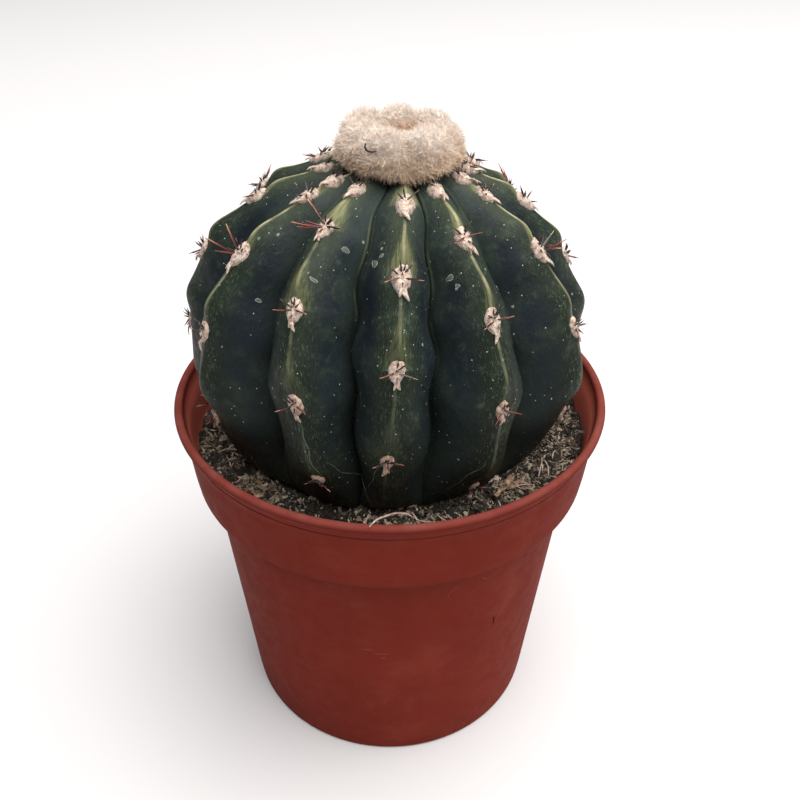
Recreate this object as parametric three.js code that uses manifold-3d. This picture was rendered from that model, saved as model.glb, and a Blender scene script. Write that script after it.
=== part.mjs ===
// A round, twelve-ribbed cactus with a woolly crown, growing in a plastic nursery pot.
// Millimetres, +Z up. The origin is the centre of the pot's foot, and the front faces -Y.
// Azimuths are in degrees from the front (-Y) and turn towards +X.

import * as THREE from 'three';
import { mergeVertices } from 'three/addons/utils/BufferGeometryUtils.js';
import Module from 'manifold-3d';

const wasm = await Module();
wasm.setup();

// ---------------------------------------------------------------- driving dimensions

// Nursery pot of 13 cm
const RIM_RADIUS = 65;
const POT_HEIGHT = 115;
const LIP_HEIGHT = 2.9;          // rolled lip round the rim
const LIP_INNER_RADIUS = 62.4;
const LIP_CHAMFER = [0.5, 0.6];  // its lower edge: across and up
const LIP_SEAT = 0.2;            // the lip's underside slopes up by this
const LIP_THICKENING = 2;        // the wall thickens towards the lip over this height
const COLLAR_TOP_RADIUS = 63.1;  // the collar under the lip
const COLLAR_FOOT_RADIUS = 61.1;
const STEP_HEIGHT = 88.6;        // where the collar steps in to the wall
const STEP_RADIUS = 56.6;
const STEP_ROUNDING = 1.6;
const STEP_RISE = 0.6;           // the step slopes up by this from the wall to the collar
const BASE_RADIUS = 49.2;
const BASE_ROUNDING = 1.4;
const WALL = 1.7;
const FOOT_RING_WIDTH = 3.6;     // the ring that the pot stands on
const FOOT_RECESS = 2.4;         // the floor is raised by this inside the ring
const FLOOR = 1.8;
const FLOOR_ROUNDING = 1.2;
const DRAIN_HOLES = 6;
const DRAIN_RADIUS = 4.5;
const DRAIN_CIRCLE = 30;
const POT_SIDES = 48;

// Potting mix
const SOIL_HEIGHT = 100;         // mean height of its top
const SOIL_TILT = 2.4;           // higher by this at +X, lower at -X
const SOIL_MOUND = 1.2;          // banked up against the plant
const CRUMB_RELIEF = 0.7;
const SOIL_STATIONS = [0.3, 0.65, 1];   // rings of its top, from the plant out to the wall
const GAP = 0.3;                 // clearance between pieces that rest on each other
const LEDGE_GAP = 0.36;          // the same, measured straight up over the pot's sloping ledge
const POCKET_GAP = 0.8;          // the same, measured level across the steep sides of the ribs

// Cactus body: an ellipsoid through the crests of its ribs
const BODY_X = -1.9;
const BODY_Z = 138.7;            // height of the widest part
const BODY_RADIUS = 56.3;
const BODY_TOP = 46.3;           // from the widest part up to the crown
const BODY_BOTTOM = 58;          // from there down, if the base weren't drawn in to the root
const CROWN_SHIFT = 4.3;         // the crown lies this far towards +X
const FURROW_DEPTH = 15.5;
const CROWN_FURROW_DEPTH = 3;
const NOTCH = 0.9;               // the crest dips by this at an areole and rises as much above it
const CHIN = 0.05;               // the chin stands this part of a spacing above the areole
const GIRTH = 1.8;               // degrees by which a rib widens at its areoles
const BESIDE = 0.2;              // part of a spacing over which a flank is rounder beside one
const FLANK_POWER = 1.45;        // how a flank falls away from the crest, and how it ends
const BESIDE_POWER = 0.45;       // added to that beside an areole
const FURROW_POWER = 0.75;
const LOW_SWELLS = [[75, 3, 25], [-108, 4.5, 6]];   // bulges: azimuth, height and upper end
const SWELL_FADE = 28;           // degrees over which a bulge fades in below its upper end
const ROOT_TIP_Z = 60;
const ROOT_STOCK = [[84, 13], [66, 5]];   // height and radius

// Crest azimuth, how far its row of areoles is set down (in parts of one spacing), and how
// far the crest wanders sideways between an elevation of 40 and -20 degrees, in degrees.
const RIBS = [
  [-91, 0.60, 0], [-58, 0.05, 0], [-23, 0.36, 9], [3, -0.10, -5], [32, 0.53, -2], [65, 0.12, -2],
  [94, 0.75, 1], [123, 0.10, 3], [152, 0.55, -3], [181, 0.05, 2], [211, 0.50, -4], [240, 0.00, 3],
];
const RIB_STATIONS = [-1, -0.66, -0.3, 0, 0.3, 0.66];   // -1 is the furrow and 0 the crest

// Areoles: felt pads in a row down each crest, with spines
const CROWN_AREOLE = 71;         // elevation of the first in each row, in degrees
const CROWN_CLEAR = 5;           // the second is at least this much lower
const LOWEST_AREOLE = -36;
const MOST_ROWS = 6;
const PAD_HALF_WIDTH = 1.9;
const PAD_HALF_HEIGHT = 3.3;
const PAD_PROUD = 1;             // height over the crest
const PAD_SUNK = 1.2;
const PAD_CROWN = 0.72;          // its top and its buried skirt, as parts of its size
const PAD_SKIRT = 1.25;
const SPINE_RADIUS = 0.3;
const SPINE_ROOT = 1.2;          // the length sunk into the pad
const SPINE_CIRCLE = 0.9;        // the most that a spine stands off the pad's middle

// Woolly crown
const WOOL_X = 2.4;
const WOOL_SEAT_Z = 181;
const WOOL_SEAT_RADIUS = 13;
const WOOL_RADIUS = 16.4;
const WOOL_WIDEST_Z = 187.2;
const WOOL_TOP_Z = 195.4;
const WOOL_CREST_RADIUS = 10.9;  // the circle on which it is highest
const WOOL_DIMPLE = 4;
const WOOL_SIDES = 40;
const LOBE_OUT = 0.42;           // how far its lobes swell out and up
const LOBE_UP = 0.38;
const LOBES = [[1, 5, 0.6], [0.6, 8, 2.1], [0.4, 3, -0.8]];   // strength, count and turn

// The wool's profile below its widest part and in its dimple: radius, height, share of lobes
const WOOL_SKIRT = [
  [WOOL_SEAT_RADIUS, WOOL_SEAT_Z, 0],
  [WOOL_SEAT_RADIUS, WOOL_SEAT_Z + 2.9, 0],
  [WOOL_RADIUS - 1.6, WOOL_SEAT_Z + 3.2, 0.1],
  [WOOL_RADIUS - 0.4, WOOL_SEAT_Z + 4.3, 0.7],
];
const WOOL_HOLLOW = [
  [0.72 * WOOL_CREST_RADIUS, WOOL_TOP_Z - 0.22 * WOOL_DIMPLE, 0.9],
  [0.42 * WOOL_CREST_RADIUS, WOOL_TOP_Z - 0.62 * WOOL_DIMPLE, 0.7],
  [0.18 * WOOL_CREST_RADIUS, WOOL_TOP_Z - 0.94 * WOOL_DIMPLE, 0.3],
];

// ---------------------------------------------------------------- helpers

const radians = THREE.MathUtils.degToRad;

function smooth(from, to, x) {
  const t = THREE.MathUtils.clamp((x - from) / (to - from), 0, 1);
  return t * t * (3 - 2 * t);
}

// A seeded random number from 0 to 1 (a Lehmer generator), so that the plant grows the same
// way each time.
const LEHMER_FACTOR = 16807;
const LEHMER_MODULUS = 2147483647;
let seed = 20;

function random() {
  seed = (seed * LEHMER_FACTOR) % LEHMER_MODULUS;
  return seed / LEHMER_MODULUS;
}

function jitter(amount) {
  return (2 * random() - 1) * amount;
}

// A point at a radius and an azimuth round a vertical axis at x.
function around(x, radius, azimuth, z) {
  const a = radians(azimuth);
  return new THREE.Vector3(x + radius * Math.sin(a), -radius * Math.cos(a), z);
}

// Rings of points, all with the same number and in the same order, skinned into a closed
// body between a first and a last point.
function skin(first, rings, last) {
  const count = rings[0].length;
  const points = [first, ...rings.flat(), last];
  const index = [];
  for (let i = 0; i < count; i++) {
    const next = (i + 1) % count;
    index.push(0, 1 + i, 1 + next);
    for (let j = 0; j + 1 < rings.length; j++) {
      const upper = 1 + j * count;
      const lower = upper + count;
      index.push(upper + i, lower + i, upper + next);
      index.push(upper + next, lower + i, lower + next);
    }
    const lastRing = 1 + (rings.length - 1) * count;
    index.push(points.length - 1, lastRing + next, lastRing + i);
  }
  const geometry = new THREE.BufferGeometry().setFromPoints(points);
  geometry.setIndex(index);
  return geometry;
}

// Turns a profile of [radius, height] points round the Z axis.
function turn(profile, sides) {
  const points = profile.map(([r, z]) => new THREE.Vector2(r, z));
  return new THREE.LatheGeometry(points, sides).rotateX(Math.PI / 2);
}

function solid(geometry) {
  const bare = geometry.clone();
  bare.deleteAttribute('normal');
  bare.deleteAttribute('uv');
  const merged = mergeVertices(bare, 1e-4);
  return new wasm.Manifold(new wasm.Mesh({
    numProp: 3,
    vertProperties: Float32Array.from(merged.attributes.position.array),
    triVerts: Uint32Array.from(merged.index.array),
  }));
}

function geometryOf(manifold) {
  const mesh = manifold.getMesh();
  const geometry = new THREE.BufferGeometry();
  geometry.setAttribute('position', new THREE.BufferAttribute(mesh.vertProperties, 3));
  geometry.setIndex(new THREE.BufferAttribute(mesh.triVerts, 1));
  return geometry;
}

function named(name, geometry, color, roughness) {
  geometry.computeVertexNormals();
  const material = new THREE.MeshStandardMaterial({ color, roughness, metalness: 0 });
  const mesh = new THREE.Mesh(geometry, material);
  mesh.name = name;
  return mesh;
}

// ---------------------------------------------------------------- pot

// Points of a quarter round from one corner tangent to the other.
function quarter(centreR, centreZ, radius, fromDegrees, steps = 3) {
  const points = [];
  for (let i = 0; i <= steps; i++) {
    const a = radians(fromDegrees + 90 * i / steps);
    points.push([centreR + radius * Math.cos(a), centreZ + radius * Math.sin(a)]);
  }
  return points;
}

function innerRadius(z) {
  if (z > STEP_HEIGHT + WALL) {
    const t = (z - STEP_HEIGHT) / (POT_HEIGHT - LIP_HEIGHT - STEP_HEIGHT);
    return THREE.MathUtils.lerp(COLLAR_FOOT_RADIUS, COLLAR_TOP_RADIUS, t) - WALL;
  }
  return THREE.MathUtils.lerp(BASE_RADIUS, STEP_RADIUS, z / STEP_HEIGHT) - WALL;
}

const FLOOR_TOP = FOOT_RECESS + FLOOR;
const COLLAR_TOP = POT_HEIGHT - LIP_HEIGHT;
const LEDGE_FOOT = STEP_HEIGHT + WALL / 2;              // the step as it is inside the pot
const LEDGE_TOP = STEP_HEIGHT + STEP_ROUNDING + WALL;

function potProfile() {
  const footInner = BASE_RADIUS - BASE_ROUNDING - FOOT_RING_WIDTH;
  const lipRadius = (RIM_RADIUS - LIP_INNER_RADIUS) / 2;
  const lipCentre = RIM_RADIUS - lipRadius;
  const [chamferAcross, chamferUp] = LIP_CHAMFER;
  const thinnest = COLLAR_TOP - LIP_THICKENING;
  return [
    [0, FOOT_RECESS],
    [footInner - FOOT_RECESS / 2, FOOT_RECESS],
    [footInner, 0],
    ...quarter(BASE_RADIUS - BASE_ROUNDING, BASE_ROUNDING, BASE_ROUNDING, -90, 2),
    [STEP_RADIUS, STEP_HEIGHT],
    ...quarter(COLLAR_FOOT_RADIUS - STEP_ROUNDING, STEP_HEIGHT + STEP_ROUNDING + STEP_RISE,
      STEP_ROUNDING, -90, 3),
    [COLLAR_TOP_RADIUS, COLLAR_TOP],
    [RIM_RADIUS - chamferAcross, COLLAR_TOP + LIP_SEAT],
    [RIM_RADIUS, COLLAR_TOP + LIP_SEAT + chamferUp],
    ...quarter(lipCentre, POT_HEIGHT - lipRadius, lipRadius, 0, 3),
    ...quarter(lipCentre, POT_HEIGHT - lipRadius, lipRadius, 90, 2).slice(1),
    [innerRadius(thinnest), thinnest],
    [innerRadius(LEDGE_TOP), LEDGE_TOP],
    [innerRadius(STEP_HEIGHT), LEDGE_FOOT],
    [innerRadius(FLOOR_TOP + FLOOR_ROUNDING), FLOOR_TOP + FLOOR_ROUNDING],
    [innerRadius(FLOOR_TOP) - FLOOR_ROUNDING, FLOOR_TOP],
    [0, FLOOR_TOP],
  ];
}

function pot() {
  let body = solid(turn(potProfile(), POT_SIDES));
  for (let i = 0; i < DRAIN_HOLES; i++) {
    const drill = new THREE.CylinderGeometry(DRAIN_RADIUS, DRAIN_RADIUS, 4 * FLOOR_TOP, 12);
    drill.rotateX(Math.PI / 2);
    const { x, y } = around(0, DRAIN_CIRCLE, (i + 0.5) * 360 / DRAIN_HOLES, 0);
    body = body.subtract(solid(drill.translate(x, y, 0)));
  }
  return named('pot', geometryOf(body), 0x7a3022, 0.55);
}

// ---------------------------------------------------------------- ribs of the cactus

// The rows of areoles, counted from the crown down, lie further apart lower on the plant.
const ROW_ONE = 65;              // elevation of row 1, in degrees
const ROW_SPACING = 21.5;
const ROW_GROWTH = 1.6;

function rowElevation(row) {
  const s = row - 1;
  return ROW_ONE - ROW_SPACING * s - ROW_GROWTH * s * s;
}

function rowAt(elevation) {
  const drop = ROW_ONE - elevation;
  const root = Math.sqrt(ROW_SPACING ** 2 + 4 * ROW_GROWTH * drop);
  return 1 + (root - ROW_SPACING) / (2 * ROW_GROWTH);
}

// How far below the last areole of a rib an elevation lies, from 0 to 1 at the next one.
function fromAreole(rib, elevation) {
  const row = rowAt(elevation) - RIBS[rib][1];
  return row - Math.floor(row);
}

// A crest stands at its own azimuth at an elevation of 10 degrees, and wanders over the next 60.
function crestAzimuth(rib, elevation) {
  const [azimuth, , wander] = RIBS[rib];
  return azimuth + wander * (10 - THREE.MathUtils.clamp(elevation, -45, 70)) / 60;
}

// The crest dips at each areole, then rises slowly to a chin just above the next one.
function notch(rib, elevation) {
  const f = (fromAreole(rib, elevation) + CHIN) % 1;
  const fade = smooth(78, 50, elevation) * smooth(-50, -38, elevation);
  return -NOTCH * fade * Math.cos(2 * Math.PI * f * f);
}

function girth(rib, elevation) {
  return Math.cos(2 * Math.PI * fromAreole(rib, elevation));
}

// Azimuth of the furrow between a rib and the next one.
function furrowAzimuth(rib, elevation) {
  const next = (rib + 1) % RIBS.length;
  const here = crestAzimuth(rib, elevation);
  let there = crestAzimuth(next, elevation);
  if (there < here) there += 360;
  return (here + there + GIRTH * (girth(rib, elevation) - girth(next, elevation))) / 2;
}

function furrowDepth(elevation) {
  const crown = smooth(80, 30, elevation);
  const base = smooth(-60, -20, elevation);
  return (CROWN_FURROW_DEPTH + (FURROW_DEPTH - CROWN_FURROW_DEPTH) * crown) * base;
}

function lowSwell(azimuth, elevation) {
  let swell = 0;
  for (const [centre, height, top] of LOW_SWELLS) {
    const spread = Math.max(0, Math.cos(radians(azimuth - centre))) ** 4;
    swell += height * spread * smooth(top, top - SWELL_FADE, elevation);
  }
  return swell;
}

// A point of the body at a station across a rib, from -1 in the furrow before it, through 0
// on its crest, to 1 in the furrow after it.
function bodyPoint(rib, station, elevation, proud = 0) {
  const before = (rib + RIBS.length - 1) % RIBS.length;
  const crest = crestAzimuth(rib, elevation);
  let edge = furrowAzimuth(station < 0 ? before : rib, elevation);
  if (station < 0 && edge > crest) edge -= 360;
  const across = Math.abs(station);
  const azimuth = crest + (edge - crest) * across;

  // Flanks are nearly straight between areoles and rounder beside one.
  const f = fromAreole(rib, elevation);
  const beside = Math.exp(-((Math.min(f, 1 - f) / BESIDE) ** 2));
  const flank = 1 - (1 - across ** (FLANK_POWER + BESIDE_POWER * beside)) ** FURROW_POWER;

  const up = Math.sin(radians(elevation));
  const out = Math.cos(radians(elevation));
  const reach = BODY_RADIUS - furrowDepth(elevation) * flank
    + notch(rib, elevation) * (1 - across);
  const swell = lowSwell(azimuth, elevation);
  const scale = reach / BODY_RADIUS;
  const z = BODY_Z + (up > 0 ? BODY_TOP * up * scale : BODY_BOTTOM * up);
  const x = BODY_X + CROWN_SHIFT * Math.max(0, up) ** 6;
  return around(x, (reach + swell) * out + proud, azimuth, z);
}

function bodyRing(elevation, proud = 0) {
  return RIBS.flatMap((_, rib) =>
    RIB_STATIONS.map((station) => bodyPoint(rib, station, elevation, proud)));
}

const SOIL_LINE = -42;           // elevation at which the body meets the potting mix
const BURIED = [-47, -53];
const FIRST_ROW = 72.5;          // rows of points on the body, below one on its crown
const ROW_STEP = 5.7;
const BODY_ROWS = [80];
for (let e = FIRST_ROW; e > SOIL_LINE; e -= ROW_STEP) BODY_ROWS.push(e);

// The buried root stock keeps the azimuths of the lowest ring of the body.
function rootRing(z, radius, proud = 0) {
  return bodyRing(BURIED.at(-1)).map((p) => {
    const azimuth = Math.atan2(p.x - BODY_X, -p.y) / radians(1);
    return around(BODY_X, radius + proud, azimuth, z);
  });
}

// ---------------------------------------------------------------- areoles and spines

// Spines of one areole: the way they point round the pad (0 is up the rib, 90 to the side),
// their lean from the surface normal, and their length.
const SPINES = [
  { round: 38, lean: 48, length: 3.0 },
  { round: -38, lean: 48, length: 3.0 },
  { round: 98, lean: 58, length: 5.2 },
  { round: -98, lean: 58, length: 5.2 },
  { round: 168, lean: 60, length: 3.6 },
];
const ROUND_JITTER = 9;
const LEAN_JITTER = 7;
const LENGTH_JITTER = 0.15;      // as a part of the length

// Axes on a crest: down the rib, sideways and straight out.
function crestAxes(rib, elevation) {
  const slope = 1.5;             // degrees up and down the crest over which its slope is taken
  const down = bodyPoint(rib, 0, elevation - slope).sub(bodyPoint(rib, 0, elevation + slope));
  const azimuth = radians(crestAzimuth(rib, elevation));
  const side = new THREE.Vector3(Math.cos(azimuth), Math.sin(azimuth), 0);
  down.normalize();
  const out = new THREE.Vector3().crossVectors(down, side).normalize();
  return { side, down, out };
}

function pad(place, { side, down, out }) {
  const geometry = new THREE.CylinderGeometry(PAD_CROWN, PAD_SKIRT, PAD_PROUD + PAD_SUNK, 6);
  geometry.rotateX(Math.PI / 2).translate(0, 0, (PAD_PROUD - PAD_SUNK) / 2);
  geometry.scale(PAD_HALF_WIDTH, PAD_HALF_HEIGHT, 1);
  const axes = new THREE.Matrix4().makeBasis(side, down.clone().negate(), out);
  return solid(geometry.applyMatrix4(axes).translate(place.x, place.y, place.z));
}

function spine(place, { side, down, out }, { round, lean, length }) {
  const turned = radians(round + jitter(ROUND_JITTER));
  const tilt = radians(lean + jitter(LEAN_JITTER));
  const along = down.clone().multiplyScalar(-Math.cos(turned));
  along.addScaledVector(side, Math.sin(turned));
  const direction = along.clone().multiplyScalar(Math.sin(tilt)).addScaledVector(out, Math.cos(tilt));
  const grown = length * (1 + jitter(LENGTH_JITTER));
  const geometry = new THREE.ConeGeometry(SPINE_RADIUS, grown + SPINE_ROOT, 3);
  geometry.translate(0, (grown + SPINE_ROOT) / 2, 0);
  geometry.applyQuaternion(new THREE.Quaternion().setFromUnitVectors(
    new THREE.Vector3(0, 1, 0), direction));
  // A spine leaves the pad's top part way out from its middle, and its root reaches back in.
  const root = place.clone().addScaledVector(along, SPINE_CIRCLE * Math.sin(tilt));
  root.addScaledVector(out, PAD_PROUD).addScaledVector(direction, -SPINE_ROOT);
  return solid(geometry.translate(root.x, root.y, root.z));
}

function areoles() {
  const grown = [];
  RIBS.forEach(([, setDown], rib) => {
    for (let row = 0; row < MOST_ROWS; row++) {
      const elevation = Math.min(CROWN_AREOLE, rowElevation(row + setDown));
      const nextElevation = rowElevation(row + 1 + setDown);
      const crowded = nextElevation > CROWN_AREOLE - CROWN_CLEAR;
      if (crowded || elevation < LOWEST_AREOLE) continue;
      const place = bodyPoint(rib, 0, elevation);
      const axes = crestAxes(rib, elevation);
      grown.push(pad(place, axes));
      // The first areoles sit against the wool, so their spines lean away from it.
      const spines = elevation === CROWN_AREOLE ? SPINES.slice(2, 5) : SPINES;
      for (const kind of spines) grown.push(spine(place, axes, kind));
    }
  });
  return grown;
}

function cactusBody() {
  const rings = BODY_ROWS.map((e) => bodyRing(e));
  rings.push(bodyRing(SOIL_LINE), ...BURIED.map((e) => bodyRing(e)));
  for (const [z, radius] of ROOT_STOCK) rings.push(rootRing(z, radius));
  const top = around(BODY_X + CROWN_SHIFT, 0, 0, BODY_Z + BODY_TOP);
  const plant = solid(skin(top, rings, around(BODY_X, 0, 0, ROOT_TIP_Z)));

  const seatRadius = WOOL_SEAT_RADIUS + GAP;
  const seatHeight = 20;
  const seat = new THREE.CylinderGeometry(seatRadius, seatRadius, seatHeight, 36);
  seat.rotateX(Math.PI / 2).translate(WOOL_X, 0, WOOL_SEAT_Z - GAP + seatHeight / 2);
  const grown = wasm.Manifold.union([plant.subtract(solid(seat)), ...areoles()]);
  return named('cactus_body', geometryOf(grown), 0x2f4033, 0.5);
}

// ---------------------------------------------------------------- woolly crown

// Lobes of wool swell round the sides and fold in towards a dimple on top.
function woolPoint(azimuth, radius, z, share) {
  let lobe = 0;
  for (const [strength, count, turned] of LOBES) {
    lobe += share * strength * Math.cos(count * radians(azimuth) + turned);
  }
  return around(WOOL_X, radius + LOBE_OUT * lobe, azimuth, z + LOBE_UP * lobe);
}

function wool() {
  const bulge = WOOL_RADIUS - WOOL_CREST_RADIUS;
  const height = WOOL_TOP_Z - WOOL_WIDEST_Z;
  const steps = 4;
  const profile = [...WOOL_SKIRT];
  for (let i = 0; i <= steps; i++) {
    const a = radians(90 * i / steps);
    const z = WOOL_WIDEST_Z + height * Math.sin(a);
    profile.push([WOOL_CREST_RADIUS + bulge * Math.cos(a), z, 1]);
  }
  profile.push(...WOOL_HOLLOW);
  const rings = profile.reverse().map(([radius, z, lobe]) =>
    Array.from({ length: WOOL_SIDES }, (_, i) => woolPoint(360 * i / WOOL_SIDES, radius, z, lobe)));
  const top = around(WOOL_X, 0, 0, WOOL_TOP_Z - WOOL_DIMPLE);
  return named('cephalium', skin(top, rings, around(WOOL_X, 0, 0, WOOL_SEAT_Z)), 0xd8c3ac, 1);
}

// ---------------------------------------------------------------- potting mix

// Waves that cross each other every 6 to 12 mm make an uneven surface.
function crumbs(x, y) {
  const along = Math.sin(0.55 * x + 1.3 * Math.sin(0.31 * y));
  const across = Math.cos(0.62 * y - 0.9 * Math.sin(0.27 * x));
  return along * across + 0.5 * Math.sin(1.1 * x - 0.8 * y);
}

function soilTop(point, bank) {
  const z = SOIL_HEIGHT + SOIL_TILT * point.x / RIM_RADIUS + SOIL_MOUND * bank
    + CRUMB_RELIEF * crumbs(point.x, point.y);
  return new THREE.Vector3(point.x, point.y, z);
}

function soil() {
  const contact = bodyRing(SOIL_LINE, POCKET_GAP);
  const azimuths = contact.map((p) => Math.atan2(p.x, -p.y) / radians(1));
  const wallRing = (radius, z) => azimuths.map((a) => around(0, radius - GAP, a, z));
  const wallTop = wallRing(innerRadius(SOIL_HEIGHT) - GAP, 0);

  // From the pocket's floor up its wall, over the top and down the pot's wall.
  const rings = ROOT_STOCK.map(([z, radius]) => rootRing(z, radius, POCKET_GAP)).reverse();
  rings.push(...BURIED.map((e) => bodyRing(e, POCKET_GAP)).reverse(), contact);
  for (const t of SOIL_STATIONS) {
    rings.push(contact.map((p, i) =>
      soilTop(p.clone().lerp(wallTop[i], t), (1 - t) ** 2)));
  }
  rings.push(wallRing(innerRadius(LEDGE_TOP), LEDGE_TOP + LEDGE_GAP));
  rings.push(wallRing(innerRadius(STEP_HEIGHT), LEDGE_FOOT + LEDGE_GAP));
  rings.push(wallRing(innerRadius(FLOOR_TOP) - FLOOR_ROUNDING, FLOOR_TOP + GAP));
  const pocketFloor = around(BODY_X, 0, 0, ROOT_TIP_Z - GAP);
  const geometry = skin(pocketFloor, rings, around(0, 0, 0, FLOOR_TOP + GAP));
  return named('soil', geometry, 0x8a7a68, 1);
}

// ---------------------------------------------------------------- the potted plant

const plant = new THREE.Group();
plant.add(pot(), soil(), cactusBody(), wool());

export default plant;
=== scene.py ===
# %% [markdown]
# # A round cactus with a woolly crown, in its nursery pot
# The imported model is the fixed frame. It has four solids: the pot, the potting mix, the ribbed
# plant and its woolly crown. Each is replaced here by finer pieces that keep its form, and what
# is too small for the solids is added: felt, spines, wool fibres, crumbs of potting mix and straw.
# All sizes below are in millimetres, and meshes are turned to metres when they are made.

# %% Load the frame
import math

import bpy
import numpy as np
from mathutils import Matrix, Vector, noise


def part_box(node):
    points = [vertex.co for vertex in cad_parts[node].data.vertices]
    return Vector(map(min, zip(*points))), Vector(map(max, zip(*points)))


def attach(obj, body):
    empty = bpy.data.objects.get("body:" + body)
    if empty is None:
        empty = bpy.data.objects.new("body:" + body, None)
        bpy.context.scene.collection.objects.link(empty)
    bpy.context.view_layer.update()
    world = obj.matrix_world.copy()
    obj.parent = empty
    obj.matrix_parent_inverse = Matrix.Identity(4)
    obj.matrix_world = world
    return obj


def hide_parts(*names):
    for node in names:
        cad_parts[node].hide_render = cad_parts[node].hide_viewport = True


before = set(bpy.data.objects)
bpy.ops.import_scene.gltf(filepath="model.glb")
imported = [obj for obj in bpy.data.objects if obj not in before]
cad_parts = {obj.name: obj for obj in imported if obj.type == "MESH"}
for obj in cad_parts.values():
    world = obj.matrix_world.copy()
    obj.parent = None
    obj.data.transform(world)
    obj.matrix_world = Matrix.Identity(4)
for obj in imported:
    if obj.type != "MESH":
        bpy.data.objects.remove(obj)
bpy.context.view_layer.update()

MM = 0.001


# %% [markdown]
# ## Camera
# The camera was fitted to the outline of the pot in the photograph: it stands in front of the
# plant, a little above it, and looks down by 35 degrees. Its lens is as long as a phone's.

# %% Camera
CAMERA_PLACE = (0, -221.79, 263.48)
CAMERA_DOWN = 34.957             # degrees
CAMERA_ASIDE = 0.777             # towards +X
CAMERA_ROLL = 0.452
LENS = 39.15                     # on a sensor 36 mm wide


def placed(name, data):
    """A new object in the scene, at the origin, that holds a mesh, a lamp or a camera."""
    made = bpy.data.objects.new(name, data)
    bpy.context.scene.collection.objects.link(made)
    return made


def camera_axes(down, aside, roll):
    """Right, up and backward axes of a camera that looks along +Y, then down and aside."""
    down, aside, roll = (math.radians(a) for a in (down, aside, roll))
    forward = Vector((math.sin(aside) * math.cos(down), math.cos(aside) * math.cos(down), -math.sin(down)))
    right = forward.cross(Vector((0, 0, 1))).normalized()
    up = right.cross(forward)
    rolled_right = math.cos(roll) * right + math.sin(roll) * up
    rolled_up = math.cos(roll) * up - math.sin(roll) * right
    return Matrix((rolled_right, rolled_up, -forward)).transposed()


camera_data = bpy.data.cameras.new("camera")
camera_data.lens = LENS
camera_data.sensor_width = 36
camera_data.clip_start = 0.01
camera = placed("camera", camera_data)
camera.matrix_world = (Matrix.Translation(Vector(CAMERA_PLACE) * MM)
                       @ camera_axes(CAMERA_DOWN, CAMERA_ASIDE, CAMERA_ROLL).to_4x4())
bpy.context.scene.camera = camera
print("camera at", [round(c, 3) for c in camera.location])


# %% [markdown]
# ## Small helpers
# Colours are picked as sRGB hex values, and Blender's sockets take linear ones. A material or a
# Geometry Nodes tree is a list of nodes, so one function adds a node with its settings and links,
# and gives back the output that is used. A table keeps what it has to know of each kind.

# %% Helpers
def to_linear(code):
    """An sRGB hex colour, such as "6b2a20", as linear RGBA."""
    parts = [int(code[i:i + 2], 16) / 255 for i in (0, 2, 4)]
    return [c / 12.92 if c <= 0.04045 else ((c + 0.055) / 1.055) ** 2.4 for c in parts] + [1.0]


# Short names for the kinds of node that are used most: Blender's name, the sockets that values go
# to in their order, the output that is used, and settings.
KINDS = {
    "place": ("ShaderNodeTexCoord", (), "Object", {}),
    "attribute": ("ShaderNodeAttribute", (), "Fac", {}),
    "height": ("ShaderNodeSeparateXYZ", (0,), "Z", {}),
    "noise": ("ShaderNodeTexNoise", ("Vector", "Scale", "Detail", "Roughness"), "Fac", {}),
    "range": ("ShaderNodeMapRange", range(5), 0, {"interpolation_type": "SMOOTHSTEP"}),
    "line": ("ShaderNodeMapRange", range(5), 0, {"interpolation_type": "LINEAR"}),
    "ramp": ("ShaderNodeValToRGB", (0,), "Color", {}),
    "mix": ("ShaderNodeMix", (0, 6, 7), 2, {"data_type": "RGBA"}),
    "bump": ("ShaderNodeBump", ("Height", "Distance"), 0, {}),
    "sum": ("ShaderNodeMath", (0, 1), 0, {"operation": "ADD"}),
    "product": ("ShaderNodeMath", (0, 1), 0, {"operation": "MULTIPLY"}),
    "product and sum": ("ShaderNodeMath", (0, 1, 2), 0, {"operation": "MULTIPLY_ADD"}),
    "scaled": ("ShaderNodeVectorMath", (0, "Scale"), 0, {"operation": "SCALE"}),
    "random number": ("FunctionNodeRandomValue", (2, 3, 8), 1, {"data_type": "FLOAT"}),
    "random vector": ("FunctionNodeRandomValue", (0, 1, 8), 0, {"data_type": "FLOAT_VECTOR"}),
    "random count": ("FunctionNodeRandomValue", (4, 5, 8), 2, {"data_type": "INT"}),
}


def add(tree, kind, *values, out=None, stops=(), **settings):
    """Adds a node and gives back one of its outputs. Values, hex colours or other nodes' outputs go
    to its sockets in their order, or by name in a dict. stops are a ramp's positions and colours."""
    kind, sockets, usual_out, usual = KINDS.get(kind, (kind, range(9), 0, {}))
    node = tree.nodes.new(kind)
    for name, value in {**usual, **settings}.items():
        setattr(node, name, value)
    inputs = values[0] if values and isinstance(values[0], dict) else dict(zip(sockets, values))
    for socket, value in inputs.items():
        if isinstance(value, bpy.types.NodeSocket):
            tree.links.new(value, node.inputs[socket])
        else:
            is_colour = node.inputs[socket].type == "RGBA"
            node.inputs[socket].default_value = to_linear(value) if is_colour else value
    if stops:
        for _ in stops[2:]:
            node.color_ramp.elements.new(0.5)
        for element, (position, code) in zip(node.color_ramp.elements, stops):
            element.position, element.color = position, to_linear(code)
    return node.outputs[usual_out if out is None else out]


def smooth(start, end, x):
    """0 before start and 1 after end, with a soft turn at both."""
    t = np.clip((x - start) / (end - start), 0, 1)
    return t * t * (3 - 2 * t)


def mesh_piece(name, points, faces):
    """A smooth-shaded mesh from points in mm."""
    mesh = bpy.data.meshes.new(name)
    mesh.from_pydata((np.asarray(points, float) * MM).tolist(), [], faces)
    mesh.shade_smooth()
    print(f"{name}: {len(points)} points")
    return placed(name, mesh)


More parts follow.
